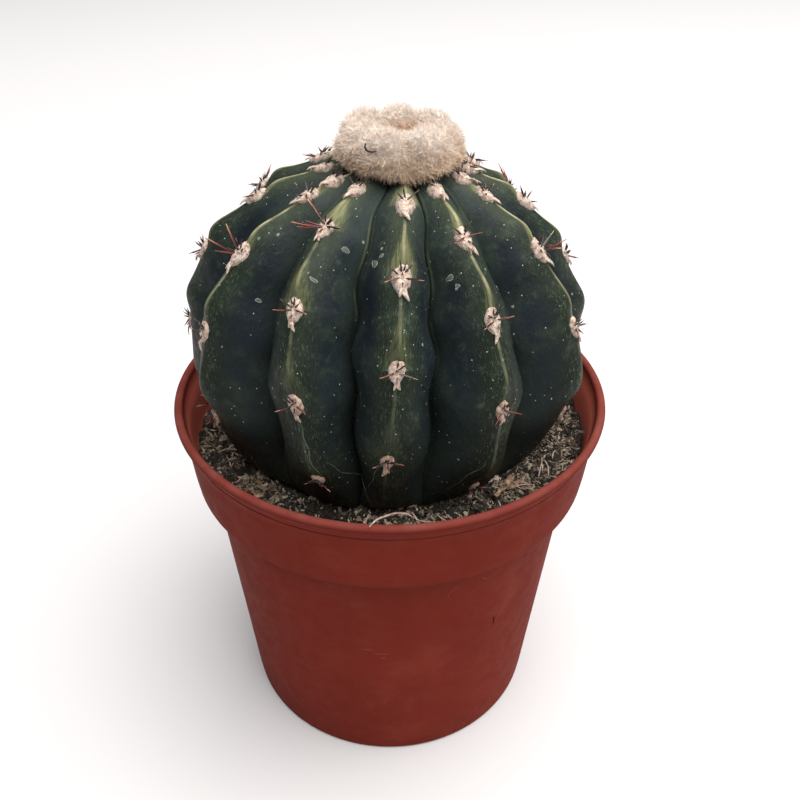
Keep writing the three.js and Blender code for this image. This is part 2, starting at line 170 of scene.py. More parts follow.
def store(piece, name, values):
    """Keeps one number or vector for each point of a mesh, for its material or its nodes."""
    values = np.asarray(values, np.float32)
    kind = "FLOAT" if values.ndim == 1 else "FLOAT_VECTOR"
    field = "value" if values.ndim == 1 else "vector"
    attribute = piece.data.attributes.new(name, kind, "POINT")
    attribute.data.foreach_set(field, values.ravel())


def in_place(piece, material, slot, *nodes):
    """Finishes a piece: its material, its body and the nodes that it stands for. The slot is not used."""
    piece.data.materials.clear()
    piece.data.materials.append(material)
    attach(piece, "root")
    if nodes:
        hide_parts(*nodes)
    triangles = sum(len(p.vertices) - 2 for p in piece.data.polygons)
    print(f"{piece.name}: {triangles} triangles")


def loft(rings, first=None, last=None):
    """Points and faces of a skin over rings of points, running down in the order in which
    azimuth grows, with a point that closes each end if it is given."""
    count = len(rings[0])
    points = [p for ring in rings for p in ring]
    faces = []
    for j in range(len(rings) - 1):
        for i in range(count):
            k = (i + 1) % count
            faces.append((j * count + i, (j + 1) * count + i, (j + 1) * count + k, j * count + k))
    if first is not None:
        faces += [(len(points), i, (i + 1) % count) for i in range(count)]
        points.append(first)
    if last is not None:
        base = (len(rings) - 1) * count
        faces += [(len(points), base + (i + 1) % count, base + i) for i in range(count)]
        points.append(last)
    return points, faces


def around(x, radius, azimuth, z):
    """A point at an azimuth in degrees from the front, turning towards +X."""
    a = np.radians(azimuth)
    return np.stack(np.broadcast_arrays(x + radius * np.sin(a), -radius * np.cos(a), z), axis=-1)


print("helpers ready; terracotta red is", [round(c, 3) for c in to_linear("7a3022")])


# %% [markdown]
# ## Floor and light
# A plain pale floor and soft studio light. The plant stood under an open sky, so most of the
# light comes from a very large lamp above it, a little from the right, and the rest from a pale room.

# %% Floor and light
FLOOR_RADIUS = 4000
floor_points = list(around(0, FLOOR_RADIUS, np.arange(128) * 360 / 128, -0.05))
floor = mesh_piece("floor", floor_points, [tuple(range(128))])
floor_paint = bpy.data.materials.new("white_matt_paint")
floor_paint.use_nodes = True
floor_shader = floor_paint.node_tree.nodes["Principled BSDF"]
floor_shader.inputs["Base Color"].default_value = to_linear("cccdd0")
floor_shader.inputs["Roughness"].default_value = 0.9
floor_shader.inputs["Specular IOR Level"].default_value = 0.1
floor.data.materials.append(floor_paint)

world = bpy.data.worlds.new("room")
world.use_nodes = True
bpy.context.scene.world = world
world.node_tree.nodes["Background"].inputs["Color"].default_value = to_linear("e9eff8")
world.node_tree.nodes["Background"].inputs["Strength"].default_value = 0.3
bpy.context.scene.view_settings.view_transform = "Standard"


def lamp(name, place, target, size, power, colour):
    """A square area lamp, in mm and watts, turned to a target."""
    data = bpy.data.lights.new(name, "AREA")
    data.size = size * MM
    data.energy = power
    data.color = to_linear(colour)[:3]
    lamp_object = placed(name, data)
    lamp_object.location = Vector(place) * MM
    aim = Vector(target) * MM - lamp_object.location
    lamp_object.rotation_euler = aim.to_track_quat("-Z", "Y").to_euler()


PLANT_MIDDLE = (0, 0, 130)
lamp("sky_lamp", (600, -300, 2400), PLANT_MIDDLE, 3200, 175, "fff9f2")


# %% [markdown]
# ## The rule of the ribs
# The plant's twelve ribs follow a rule: an ellipsoid through their crests, a furrow between each
# two, and areoles set down each crest at growing steps. The rule is the one that the solid was
# made by, so a skin made from it here with many more points lies where the solid lies.

# %% The rule of the ribs
BODY_X, BODY_Z = -1.9, 138.7
BODY_RADIUS, BODY_TOP, BODY_BOTTOM = 56.3, 46.3, 58
CROWN_SHIFT = 4.3
FURROW_DEPTH, CROWN_FURROW_DEPTH = 15.5, 3
NOTCH, CHIN, GIRTH, BESIDE = 0.9, 0.05, 1.1, 0.2
FLANK_POWER, BESIDE_POWER, FURROW_POWER = 1.45, 0.45, 0.7
KEEL, KEEL_HALF_WIDTH = 0.45, 1.1       # of the narrow ridge on the upper part of each crest
LOW_SWELLS = [(75, 3, 25), (-108, 4.5, 6)]
SWELL_FADE = 28
ROW_ONE, ROW_SPACING, ROW_GROWTH = 65, 21.5, 1.6
CROWN_AREOLE, CROWN_CLEAR, LOWEST_AREOLE = 71, 5, -36
SOIL_LINE = -42

# crest azimuth, how far the areoles are set down, and how far the crest wanders
RIBS = np.array([
    (-91, .60, 0), (-58, .05, 0), (-23, .36, 9), (3, -.10, -5), (32, .53, -2), (65, .12, -2),
    (94, .75, 1), (123, .10, 3), (152, .55, -3), (181, .05, 2), (211, .50, -4), (240, .00, 3),
])


def row_elevation(row):
    s = row - 1
    return ROW_ONE - ROW_SPACING * s - ROW_GROWTH * s * s


def from_areole(rib, elevation):
    """How far below the last areole, from 0 to 1 at the next one down the rib."""
    drop = ROW_ONE - elevation
    row = 1 + (np.sqrt(ROW_SPACING ** 2 + 4 * ROW_GROWTH * drop) - ROW_SPACING) / (2 * ROW_GROWTH)
    return (row - RIBS[rib, 1]) % 1


def crest_azimuth(rib, elevation):
    return RIBS[rib, 0] + RIBS[rib, 2] * (10 - np.clip(elevation, -45, 70)) / 60


def half_rib(rib, side, elevation):
    """Degrees from a crest to the furrow on that side of it."""
    beside = (rib + side) % len(RIBS)
    apart = (side * (crest_azimuth(beside, elevation) - crest_azimuth(rib, elevation))) % 360
    girth = np.cos(2 * np.pi * from_areole(rib, elevation))
    girth_beside = np.cos(2 * np.pi * from_areole(beside, elevation))
    return (apart + GIRTH * (girth - girth_beside)) / 2


def furrow_depth(elevation):
    crown = smooth(80, 30, elevation)
    base = smooth(-50, -6, elevation)      # the ribs run together at the plant's foot
    return (CROWN_FURROW_DEPTH + (FURROW_DEPTH - CROWN_FURROW_DEPTH) * crown) * base


def body_point(rib, station, elevation, proud=0.0):
    """Points of the skin. The station is 0 on a rib's crest, and -1 and 1 in its furrows."""
    rib, station, elevation = np.broadcast_arrays(rib, station, elevation)
    side = np.where(station < 0, -1, 1)
    across = np.abs(station)
    azimuth = crest_azimuth(rib, elevation) + half_rib(rib, side, elevation) * station

    f = from_areole(rib, elevation)
    beside = np.exp(-(np.minimum(f, 1 - f) / BESIDE) ** 2)
    flank = 1 - (1 - across ** (FLANK_POWER + BESIDE_POWER * beside)) ** FURROW_POWER
    fade = smooth(78, 50, elevation) * smooth(-50, -38, elevation)
    notch = -NOTCH * fade * np.cos(2 * np.pi * ((f + CHIN) % 1) ** 2)
    half = np.radians(half_rib(rib, side, elevation))
    from_crest = across * half * BODY_RADIUS * np.cos(np.radians(elevation))
    keel = KEEL * smooth(15, 45, elevation) * np.exp(-(from_crest / KEEL_HALF_WIDTH) ** 2)
    reach = BODY_RADIUS - furrow_depth(elevation) * flank + notch * (1 - across) + keel
    swell = sum(height * np.maximum(0, np.cos(np.radians(azimuth - centre))) ** 4
                * smooth(top, top - SWELL_FADE, elevation) for centre, height, top in LOW_SWELLS)

    up, out = np.sin(np.radians(elevation)), np.cos(np.radians(elevation))
    z = BODY_Z + np.where(up > 0, BODY_TOP * up * reach / BODY_RADIUS, BODY_BOTTOM * up)
    x = BODY_X + CROWN_SHIFT * np.maximum(0, up) ** 6
    return around(x, (reach + swell) * out + proud, azimuth, z)


low, high = (np.array(corner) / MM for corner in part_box("cactus_body"))
print("the plant's solid spans", low.round(1), "to", high.round(1))


# %% [markdown]
# ## Skin of the plant
# The skin is one closed mesh. Its stations crowd towards the crests and the furrows, where it
# bends most. Each point also keeps its distance from the crest and from the furrow in mm, and
# how strong the yellow-green wedge is there that widens down each crest to the next areole.

# %% Mesh of the skin
STATIONS_A_SIDE = 13
SKIN_ROW_STEP = 0.78
ROOT_STOCK = [(84, 13), (66, 5)]
ROOT_TIP_Z = 60
WOOL_X, WOOL_SEAT_Z, WOOL_SEAT_RADIUS = 2.4, 181, 9

half = np.arange(STATIONS_A_SIDE) / STATIONS_A_SIDE
crowded = half - 0.1 * np.sin(2 * np.pi * half)
stations = np.concatenate([-crowded[:0:-1], crowded, [1.0]])   # the first furrow belongs to the rib before
column_rib = np.repeat(np.arange(len(RIBS)), len(stations))
column_station = np.tile(stations, len(RIBS))
skin_rows = np.arange(85, -53, -SKIN_ROW_STEP)
column_count = len(column_rib)

rib_grid = np.broadcast_to(column_rib, (len(skin_rows), column_count))
station_grid = np.broadcast_to(column_station, rib_grid.shape)
elevation_grid = np.broadcast_to(skin_rows[:, None], rib_grid.shape)
skin_grid = body_point(rib_grid, station_grid, elevation_grid)


def seat_the_wool(points):
    """Cuts the crown level under the wool."""
    inside = np.hypot(points[..., 0] - WOOL_X, points[..., 1]) < WOOL_SEAT_RADIUS
    points[..., 2] = np.where(inside, np.minimum(points[..., 2], WOOL_SEAT_Z - 0.3), points[..., 2])
    return points


seat_the_wool(skin_grid)
last_ring = skin_grid[-1]
last_azimuth = np.degrees(np.arctan2(last_ring[:, 0] - BODY_X, -last_ring[:, 1]))
rings = list(skin_grid) + [around(BODY_X, radius, last_azimuth, z) for z, radius in ROOT_STOCK]
top = (BODY_X + CROWN_SHIFT, 0, WOOL_SEAT_Z - 0.3)
skin_points, skin_faces = loft(rings, top, (BODY_X, 0, ROOT_TIP_Z))
skin = mesh_piece("cactus_skin", skin_points, skin_faces)


# %% [markdown]
# The distances and the wedge are worked out on the same grid. The root stock and the two end
# points take the values of the nearest row.

# %% What the skin's points know
WEDGE_HALF_WIDTH = 3.3           # of the wedge where it meets an areole
WIDE_WEDGES = (2, 3, 7, 10)      # ribs whose wedges reach that width; on the others they stay narrow
# how much the line down a crest fades near an areole, on those ribs and the others
VEIN_FADE = (0.7, 0.15)
WIDE_RIB_VEIN = 0.45             # and how strong it is on those ribs, where the wedge takes its place
side_grid = np.where(station_grid < 0, -1, 1)
rib_width = (np.radians(half_rib(rib_grid, side_grid, elevation_grid))
             * BODY_RADIUS * np.cos(np.radians(elevation_grid)))
crest_distance = np.abs(station_grid) * rib_width
furrow_distance = (1 - np.abs(station_grid)) * rib_width
down = from_areole(rib_grid, elevation_grid)
wide = np.isin(rib_grid, WIDE_WEDGES)
wedge_width = 0.4 + WEDGE_HALF_WIDTH * np.where(wide, 1, 0.4) * np.minimum(down / 0.86, 1) ** 2.6
wedge = np.exp(-(crest_distance / wedge_width) ** 3) * smooth(0.15, 0.8, down)
low_fade = np.where(wide, *VEIN_FADE) * smooth(0.4, 0.8, down) * smooth(45, 20, elevation_grid)
vein = (1 - low_fade) * np.where(wide, WIDE_RIB_VEIN, 1)
streak_u = (column_rib + column_station / 2) * 30
streak_v = np.radians(90 - skin_rows) * BODY_RADIUS


def to_skin(grid):
    """Values on the grid of rows and columns, as one for each point of the skin."""
    spare = len(ROOT_STOCK)
    return np.concatenate([grid.ravel(), np.tile(grid[-1], spare), [grid[0, 0], grid[-1, 0]]])


store(skin, "crest_distance", to_skin(crest_distance))
store(skin, "furrow_distance", to_skin(furrow_distance))
store(skin, "wedge", to_skin(wedge))
store(skin, "vein", to_skin(vein))
store(skin, "elevation", to_skin(elevation_grid))
streaks = np.stack([np.broadcast_to(streak_u, rib_grid.shape),
                    np.broadcast_to(streak_v[:, None], rib_grid.shape), 0 * rib_grid], axis=-1)
store(skin, "streaks", np.concatenate([to_skin(streaks[..., i])[:, None] for i in range(3)], axis=1))
print("skin:", len(skin_rows), "rows of", column_count, "points")


# %% [markdown]
# ## Skin finish
# The skin of such a cactus is waxy and dark green. It is lighter and greyer towards the crown,
# and darker low down, which is partly painted shade. Painted shade also draws a near-black line
# down each furrow and darkens the flanks away from the crests, which are bluer with a painted
# reflection of the sky, and a browner tint low down is painted light bounced off the potting mix.
# The young tissue down each crest is yellow-green, in a thin line that widens to a streaked wedge
# above each areole. Fine pale scurf is scattered over it, in specks drawn about twice as large as
# real ones, so that they show. The wax gives a soft, broad highlight.

# %% Waxy skin
def material(name, roughness, ior=1.5):
    """A new material, with its node tree and its Principled shader."""
    made = bpy.data.materials.new(name)
    made.use_nodes = True
    shader = made.node_tree.nodes["Principled BSDF"]
    shader.inputs["Roughness"].default_value = roughness
    shader.inputs["IOR"].default_value = ior
    return made, made.node_tree, shader


def times(tree, *factors):
    """The product of several values."""
    product = factors[0]
    for factor in factors[1:]:
        product = add(tree, "product", product, factor)
    return product


def flecks(tree, place, spacing, size, chance, ragged=0.35):
    """Small ragged spots of a size in mm, in a share of cells that are spacing mm apart."""
    wobble = add(tree, "noise", place, 0.8 / (size * MM), out="Color")
    wobble = add(tree, "scaled", wobble, ragged * size * MM)
    moved = add(tree, "ShaderNodeVectorMath", {0: place, 1: wobble}, operation="ADD")
    cells = add(tree, "ShaderNodeTexVoronoi", {"Vector": moved, "Scale": 1 / (spacing * MM)})
    radius = size / spacing / 2
    spot = add(tree, "range", cells, 0.6 * radius, radius, 1, 0)
    return times(tree, spot, add(tree, "range", cells.node.outputs["Color"], 1 - chance, 1.02 - chance))


def waxy_skin():
    """Waxy plant skin: satin, dark green, paler and greyer towards the crown, with painted shade and a
    painted sky reflection on the flanks.
    """
    made, tree, shader = material("waxy_cactus_skin", 0.42, ior=1.45)
    shader.inputs["Specular IOR Level"].default_value = 0.12
    place = add(tree, "place")
    height = add(tree, "attribute", attribute_name="elevation")
    from_crest = add(tree, "attribute", attribute_name="crest_distance")
    from_furrow = add(tree, "attribute", attribute_name="furrow_distance")
    # Darker low down, lighter and greyer towards the crown: partly the skin's own colour, partly painted
    # shade low down.
    body = add(tree, "ramp", add(tree, "line", height, -50, 80), stops=[
        (0.0, "0f140f"), (0.3, "141a13"), (0.55, "1a231b"), (0.75, "252e27"), (1.0, "434c3b")])
    # Darker and bluer on the flanks, away from the crests: painted shade and a painted reflection of the
    # sky.
    flank = add(tree, "ramp", add(tree, "line", height, -50, 80), stops=[
        (0.0, "171f1e"), (0.3, "1b2525"), (0.55, "171e25"), (0.75, "131a23"), (1.0, "272f33")])
    rib_half = add(tree, "sum", from_crest, from_furrow)
    share = add(tree, "ShaderNodeMath", {0: from_crest, 1: rib_half}, operation="DIVIDE")
    body = add(tree, "mix", add(tree, "range", share, 0.15, 0.7), body, flank)
    mottle = add(tree, "noise", place, 1 / (7 * MM), 5, 0.65)
    body = add(tree, "mix", add(tree, "range", mottle, 0.45, 0.75, 0, 0.5), body, "313b2d")
    bloom = add(tree, "noise", place, 1 / (2.4 * MM), 5, 0.7)
    bloom = times(tree, add(tree, "range", bloom, 0.5, 0.72, 0, 0.4),
                  add(tree, "range", from_crest, 3, 12, 1, 0.25),
                  add(tree, "range", mottle, 0.4, 0.6))
    body = add(tree, "mix", bloom, body, "53604f")
    sheltered = times(tree, add(tree, "range", from_furrow, 0.5, 5, 0.25, 0),
                      add(tree, "range", height, 0, 60, 0.3, 1))
    body = add(tree, "mix", sheltered, body, "4c5a4c")

    streak_place = add(tree, "ShaderNodeMapping", {
        "Vector": add(tree, "attribute", out="Vector", attribute_name="streaks"), "Scale": (1, 0.12, 1)})
    streak = add(tree, "ShaderNodeTexNoise",
                 {"Vector": streak_place, "Scale": 1.8, "Detail": 3.0, "Roughness": 0.6})
    wedge_strength = times(tree, add(tree, "attribute", attribute_name="wedge"),
                           add(tree, "range", streak, 0.3, 0.66, 0.35, 1.0))
    wedge_colour = add(tree, "ramp", add(tree, "line", height, -45, 70), stops=[
        (0.0, "1f261b"), (0.45, "323a2b"), (0.75, "626546"), (1.0, "8c8d68")])
    body = add(tree, "mix", add(tree, "range", wedge_strength, 0.05, 0.9, 0, 0.85), body, wedge_colour)

    vein_colour = add(tree, "ramp", add(tree, "line", height, -45, 70), stops=[
        (0.0, "2e342b"), (0.5, "5d614d"), (0.78, "949272"), (1.0, "b3ac88")])
    vein = times(tree, add(tree, "attribute", attribute_name="vein"),
                 add(tree, "range", from_crest, 0.2, 0.6, 1, 0),
                 add(tree, "range", add(tree, "noise", place, 1 / (4 * MM), 3), 0.36, 0.62, 0.35, 0.85))
    body = add(tree, "mix", vein, body, vein_colour)

    scratches = add(tree, "ShaderNodeTexNoise",
                    {"Vector": streak_place, "Scale": 3.6, "Detail": 2.0, "Roughness": 0.7})
    scratches = times(tree, add(tree, "range", scratches, 0.57, 0.68),
                      add(tree, "range", from_crest, 2, 7, 0.5, 0.05))
    body = add(tree, "mix", scratches, body, "6c7964")
    # Browner low down, near the mix: painted light bounced off the potting mix.
    painted_soil_bounce = times(tree, add(tree, "range", height, 5, -30, 0, 0.35), add(tree, "range", mottle, 0.35, 0.6))
    body = add(tree, "mix", painted_soil_bounce, body, "1c130c")

    # A near-black line down each furrow: painted shade in the crease.
    painted_furrow_shade = add(tree, "range", from_furrow, 0.05, 0.28, 1, 0)
    pale_edge = times(tree, add(tree, "range", from_furrow, 0.25, 0.45),
                      add(tree, "range", from_furrow, 0.5, 0.9, 1, 0),
                      add(tree, "range", height, 0, 50, 0.05, 0.45),
                      add(tree, "range", add(tree, "noise", place, 1 / (11 * MM), 2), 0.4, 0.62, 0.1, 1))
    body = add(tree, "mix", pale_edge, body, "6f7860")
    body = add(tree, "mix", times(tree, painted_furrow_shade, 0.8), body, "090d0a")

    speck = flecks(tree, place, 2.0, 0.45, 0.5)
    body = add(tree, "mix", times(tree, speck, 0.8), body, "a9b2a3")
    scurf = flecks(tree, place, 5.0, 1.0, 0.35, ragged=0.7)
    body = add(tree, "mix", times(tree, scurf, 0.65), body, "929b8e")
    tree.links.new(body, shader.inputs["Base Color"])

    rough = add(tree, "range", add(tree, "noise", place, 1 / (3 * MM), 3), 0.3, 0.7, 0.42, 0.6)
    tree.links.new(rough, shader.inputs["Roughness"])
    fine = add(tree, "noise", place, 1 / (1.1 * MM), 3)
    broad = add(tree, "noise", place, 1 / (7 * MM), 2)
    relief = add(tree, "product and sum", broad, 3.0, fine)
    relief = add(tree, "product and sum", speck, 0.8, relief)
    relief = add(tree, "product and sum", scratches, 0.7, relief)
    tree.links.new(add(tree, "bump", relief, 0.12 * MM), shader.inputs["Normal"])
    return made


in_place(skin, waxy_skin(), "cactus", "cactus_body")


# %% [markdown]
# ## Scars and creases
# Old bites and knocks have healed as small pale corky rings, and low down, where the ribs run
# together, fine ridges cross the skin. Both are thin tubes laid along the skin and sunk in it by
# more than half, so that only a low rounded ridge shows.

# %% Tubes along the skin
def on_skin(turn, elevation, proud):
    """A point of the skin by how many ribs round it is, where 2.5 is the furrow after rib 2."""
    nearest = np.round(turn)
    return body_point(nearest.astype(int) % len(RIBS), 2 * (turn - nearest), elevation, proud)


def tube(path, radii, sides, flat_axis=None, flatness=1.0, closed=False):
    """A tube along a path, pressed thin along flat_axis if it is given."""
    path = np.asarray(path, float)
    along = np.roll(path, -1, 0) - np.roll(path, 1, 0) if closed else np.gradient(path, axis=0)
    along /= np.linalg.norm(along, axis=1)[:, None]
    reference = flat_axis if flat_axis is not None else np.array((0.3, 0.2, 1.0))
    tube_rings = []
    for place, direction, radius in zip(path, along, radii):
        wide = np.cross(direction, reference)
        wide /= np.linalg.norm(wide)
        thin = np.cross(direction, wide)
        angles = 2 * np.pi * np.arange(sides) / sides
        tube_rings.append(place + radius * (np.cos(angles)[:, None] * wide
                                            + flatness * np.sin(angles)[:, None] * thin))
    if not closed:
        return loft(tube_rings[::-1], path[-1], path[0])
    points, faces = loft(tube_rings[::-1])
    last = (len(path) - 1) * sides
    faces += [(last + i, i, (i + 1) % sides, last + (i + 1) % sides) for i in range(sides)]
    return points, faces


def sampled(stops, count):
    """Even steps along a path of stops, and each of its coordinates at them."""
    t = np.linspace(0, len(stops) - 1, count)
    return [t, *(np.interp(t, np.arange(len(stops)), column) for column in np.array(stops, float).T)]


def joined(parts):
    """One set of points and faces from several."""
    points, faces = [], []
    for part_points, part_faces in parts:
        base = len(points)
        points += list(part_points)
        faces += [tuple(base + i for i in face) for face in part_faces]
    return points, faces


print("a tube of 3 points and 6 sides has", len(tube([(0, 0, i) for i in range(3)], [1] * 3, 6)[1]), "faces")

# %% Corky marks
# creases as (ribs round, elevation); scars as (ribs round, elevation, half length, half width, slant)
CREASES = [
    [(2.0, 0), (2.03, -6), (2.04, -12), (2.08, -20)],
    [(2.19, -14), (2.32, -20), (2.5, -25), (2.64, -29), (2.8, -34)],
    [(2.9, -12), (2.84, -18), (2.76, -23), (2.62, -28)],
    [(3.93, -17), (3.83, -22), (3.72, -30)],
    [(6.2, -4), (6.3, -14), (6.22, -25)],
    [(8.4, -10), (8.52, -20), (8.75, -27)],
    [(10.1, -12), (10.3, -20), (10.55, -24)],
]
SCARS = [(2.7, 49.5, 1.1, 0.55, 20), (2.76, 51.5, 0.5, 0.35, -30), (2.3, 53, 0.75, 0.6, 40),
         (3.69, 43.5, 0.9, 0.65, -35), (3.74, 40.5, 0.5, 0.4, 10), (2.13, 42, 0.9, 0.35, 60),
         (4.3, 36, 0.7, 0.5, 0), (1.35, 30, 0.6, 0.45, 25), (5.4, 20, 0.8, 0.5, -20),
         (6.7, 45, 0.9, 0.6, 15),
         (7.6, 25, 0.7, 0.5, 70), (8.3, 50, 1.0, 0.6, -10), (9.4, 15, 0.8, 0.6, 30),
         (10.7, 40, 0.9, 0.5, 0),
         (11.3, 20, 0.7, 0.5, 50)]
CREASE_POINTS, SCAR_POINTS = 28, 22


def crease_mesh(stops):
    t, turn, elevation = sampled(stops, CREASE_POINTS)
    turn += 0.012 * np.sin(5.3 * t)
    radii = 0.17 * np.sin(np.pi * np.linspace(0.06, 0.94, CREASE_POINTS)) ** 0.5
    return tube(on_skin(turn, elevation, -0.07), radii, 6)


def scar_meshes(turn, elevation, half_length, half_width, slant):
    """The raised rim of a scar, and the plate of thin cork inside it."""
    angle = 2 * np.pi * np.arange(SCAR_POINTS) / SCAR_POINTS
    ragged = 1 + 0.12 * np.sin(3 * angle + turn * 7) + 0.07 * np.sin(7 * angle)
    slant = math.radians(slant + 90)
    millimetres_a_rib = np.radians(360 / len(RIBS)) * BODY_RADIUS * math.cos(math.radians(elevation))

    def ring(share, proud):
        a, b = share * half_length * np.cos(angle) * ragged, share * half_width * np.sin(angle) * ragged
        across = a * math.cos(slant) - b * math.sin(slant)
        upward = a * math.sin(slant) + b * math.cos(slant)
        higher = elevation + np.degrees(upward / BODY_RADIUS)
        return on_skin(turn + across / millimetres_a_rib, higher, proud)

    rim = tube(ring(1, -0.04), 0.1 + 0.03 * np.sin(2 * angle), 6, closed=True)
    return rim, loft([ring(0.5, 0.04), ring(0.95, 0.02)], ring(0, 0.04)[0], ring(0, -0.4)[0])


parts = [(crease_mesh(crease), 0.4) for crease in CREASES]
for scar in SCARS:
    rim, plate = scar_meshes(*scar)
    parts += [(rim, 1.0), (plate, 0.0)]
marks = mesh_piece("corky_marks", *joined([part for part, _ in parts]))
store(marks, "rim", np.concatenate([np.full(len(part[0]), value) for part, value in parts]))


# %% Cork
CORK_PALE_HEIGHTS = (130 * MM, 165 * MM)     # marks turn pale from the first up to the second


def cork():
    """Healed skin is dry cork: matt, grey-green to pale buff."""
    made, tree, shader = material("healed_cork", 0.8)
    grain = add(tree, "noise", add(tree, "place"), 1 / (1.5 * MM), 4)
    high_up = add(tree, "range", add(tree, "height", add(tree, "place")), *CORK_PALE_HEIGHTS)
    colour = add(tree, "ramp", add(tree, "range", grain, 0.35, 0.65),
                 stops=[(0.0, "2b3226"), (1.0, "4d5546")])
    colour = add(tree, "mix", high_up, colour,
                 add(tree, "mix", add(tree, "attribute", attribute_name="rim"), "48524a", "7f887b"))
    tree.links.new(colour, shader.inputs["Base Color"])
    tree.links.new(add(tree, "bump", grain, 0.08 * MM), shader.inputs["Normal"])
    return made


in_place(marks, cork(), "cactus")


# %% [markdown]
# ## Areoles
# An areole is a pad of felt that carries the spines. Each is domed, rounder at its top, and ends
# below in a pointed, frayed tail that curls off the skin. One pad is a small polar mesh that is
# draped over the crest: flat in its middle, and down on the skin at its edge.

# %% Places of the areoles
PAD_HALF_WIDTH, PAD_HALF_HEIGHT, PAD_PROUD = 2.4, 3.3, 1.0
draw = np.random.default_rng(7)


def crest_axes(rib, elevation):
    """The crest's point there, and its axes: sideways, down the rib and straight out."""
    slope = 1.5
    down_rib = body_point(rib, 0, elevation - slope) - body_point(rib, 0, elevation + slope)
    down_rib = down_rib / np.linalg.norm(down_rib)
    a = math.radians(crest_azimuth(rib, elevation))
    side = np.array((math.cos(a), math.sin(a), 0))
    out = np.cross(down_rib, side)
    return body_point(rib, 0, elevation), side, down_rib, out / np.linalg.norm(out)


SET_HIGHER = {(2, 4): 5, (0, 4): 1}           # degrees, by rib and row
GROWN_MORE = {(0, 4): 2.0, (3, 1): 1.25}      # times the usual size

areoles = []
for rib in range(len(RIBS)):
    for row in range(6):
        elevation = min(CROWN_AREOLE, row_elevation(row + RIBS[rib, 1]))
        crowded_out = row_elevation(row + 1 + RIBS[rib, 1]) > CROWN_AREOLE - CROWN_CLEAR
        if elevation >= LOWEST_AREOLE and not crowded_out:
            areoles.append((rib, row, elevation + SET_HIGHER.get((rib, row), 0)))


def pad_size(rib, row, elevation):
    """Pads are biggest on the shoulder of the plant, and small and old near the ground."""
    usual = np.interp(elevation, (-36, -10, 10, 45, CROWN_AREOLE), (0.62, 0.8, 0.9, 1.05, 0.9))
    return usual * GROWN_MORE.get((rib, row), 1)


print(len(areoles), "areoles")

# %% Felt pads
PAD_RINGS, PAD_SIDES = 8, 26


def pad_outline(angle):
    """Half axes round a pad: egg-shaped, with its narrow end down. The angle is 0 straight up."""
    upward = np.cos(angle)
    width = PAD_HALF_WIDTH * (1 - 0.2 * np.clip(-upward, 0, 1) ** 1.5)
    height = PAD_HALF_HEIGHT * (1 + 0.15 * np.clip(-upward, 0, 1) ** 3)
    return np.sin(angle) * width, upward * height


def pad_mesh(rib, elevation, size):
    """Points and faces of one pad, in mm."""
    centre, side, down_rib, out = crest_axes(rib, elevation)
    angles = 2 * np.pi * np.arange(PAD_SIDES) / PAD_SIDES
    across, upward = pad_outline(angles)
    a_degree = body_point(rib, 0, elevation + 0.5) - body_point(rib, 0, elevation - 0.5)
    degrees_a_mm = 1 / np.linalg.norm(a_degree)
    widths = [np.radians(half_rib(rib, s, elevation)) * BODY_RADIUS * math.cos(math.radians(elevation))
              for s in (-1, 1)]
    rings_of_pad = []
    ragged = 1 + 0.05 * draw.standard_normal(PAD_SIDES)
    for ring in range(1, PAD_RINGS + 1):
        r = ring / PAD_RINGS
        a = across * r * size * (ragged if ring >= PAD_RINGS - 1 else 1)
        u = upward * r * size * (ragged if ring >= PAD_RINGS - 1 else 1)
        flat = centre + a[:, None] * side - u[:, None] * down_rib
        station = a / np.where(a < 0, *widths)
        skin_there = body_point(rib, station, elevation + u * degrees_a_mm)
        drape = smooth(0.45, 1, np.array(r))
        dome = PAD_PROUD * size * (1 - r ** 4) ** 0.55 - 0.3 * r ** 10
        lumps = 0.07 * draw.standard_normal(PAD_SIDES) * (ring < PAD_RINGS)
        place = flat + (skin_there - flat) * drape + (dome + lumps)[:, None] * out
        rings_of_pad.append(place[::-1])
    middle = centre + PAD_PROUD * size * out
    under = centre - 0.8 * out
    return loft(rings_of_pad, middle, under)


def tail_mesh(rib, elevation, size):
    """Frayed tails of felt under a pad: flat strips, most of which curl to the right."""
    centre, side, down_rib, out = crest_axes(rib, elevation)
    lean = draw.choice([-1, 1], p=(0.25, 0.75))
    strips = []
    for strip in range(draw.integers(1, 4)):
        length = draw.uniform(1.6, 3.2) * size * (1 if strip == 0 else 0.65)
        curl = lean * draw.uniform(0.3, 0.9) * (1 if strip == 0 else -0.7)
        t = np.linspace(0, 1, 9)
        u = (PAD_HALF_HEIGHT - 1.3) * size + t * (length + 1)
        a = 0.2 * draw.standard_normal() + curl * t ** 1.8 * length * 0.75
        lift = 0.25 + 0.8 * np.sin(np.pi * t * 0.9) * draw.uniform(0.3, 1)
        path = centre + a[:, None] * side + u[:, None] * down_rib + lift[:, None] * out
        radii = size * (0.85 if strip == 0 else 0.45) * (1 - t) ** 0.7 + 0.1
        strips.append(tube(path, radii, 8, out, 0.4))
    return joined(strips)


pads = []
for rib, row, elevation in areoles:
    size = draw.uniform(0.92, 1.06) * pad_size(rib, row, elevation)
    pads += [pad_mesh(rib, elevation, size), tail_mesh(rib, elevation, size)]
felt_pads = mesh_piece("areole_felt", *joined(pads))


# %% [markdown]
# ## Felt finish
# Areole felt is short matted wool, pinkish white with tan in its hollows, and tanner all over on
# the old areoles low down. It is entirely matt, with sheen at a glancing angle, as on any felt.

# %% Felt
FELT_TAN_HEIGHTS = (165 * MM, 120 * MM)      # felt turns tan from the first down to the second


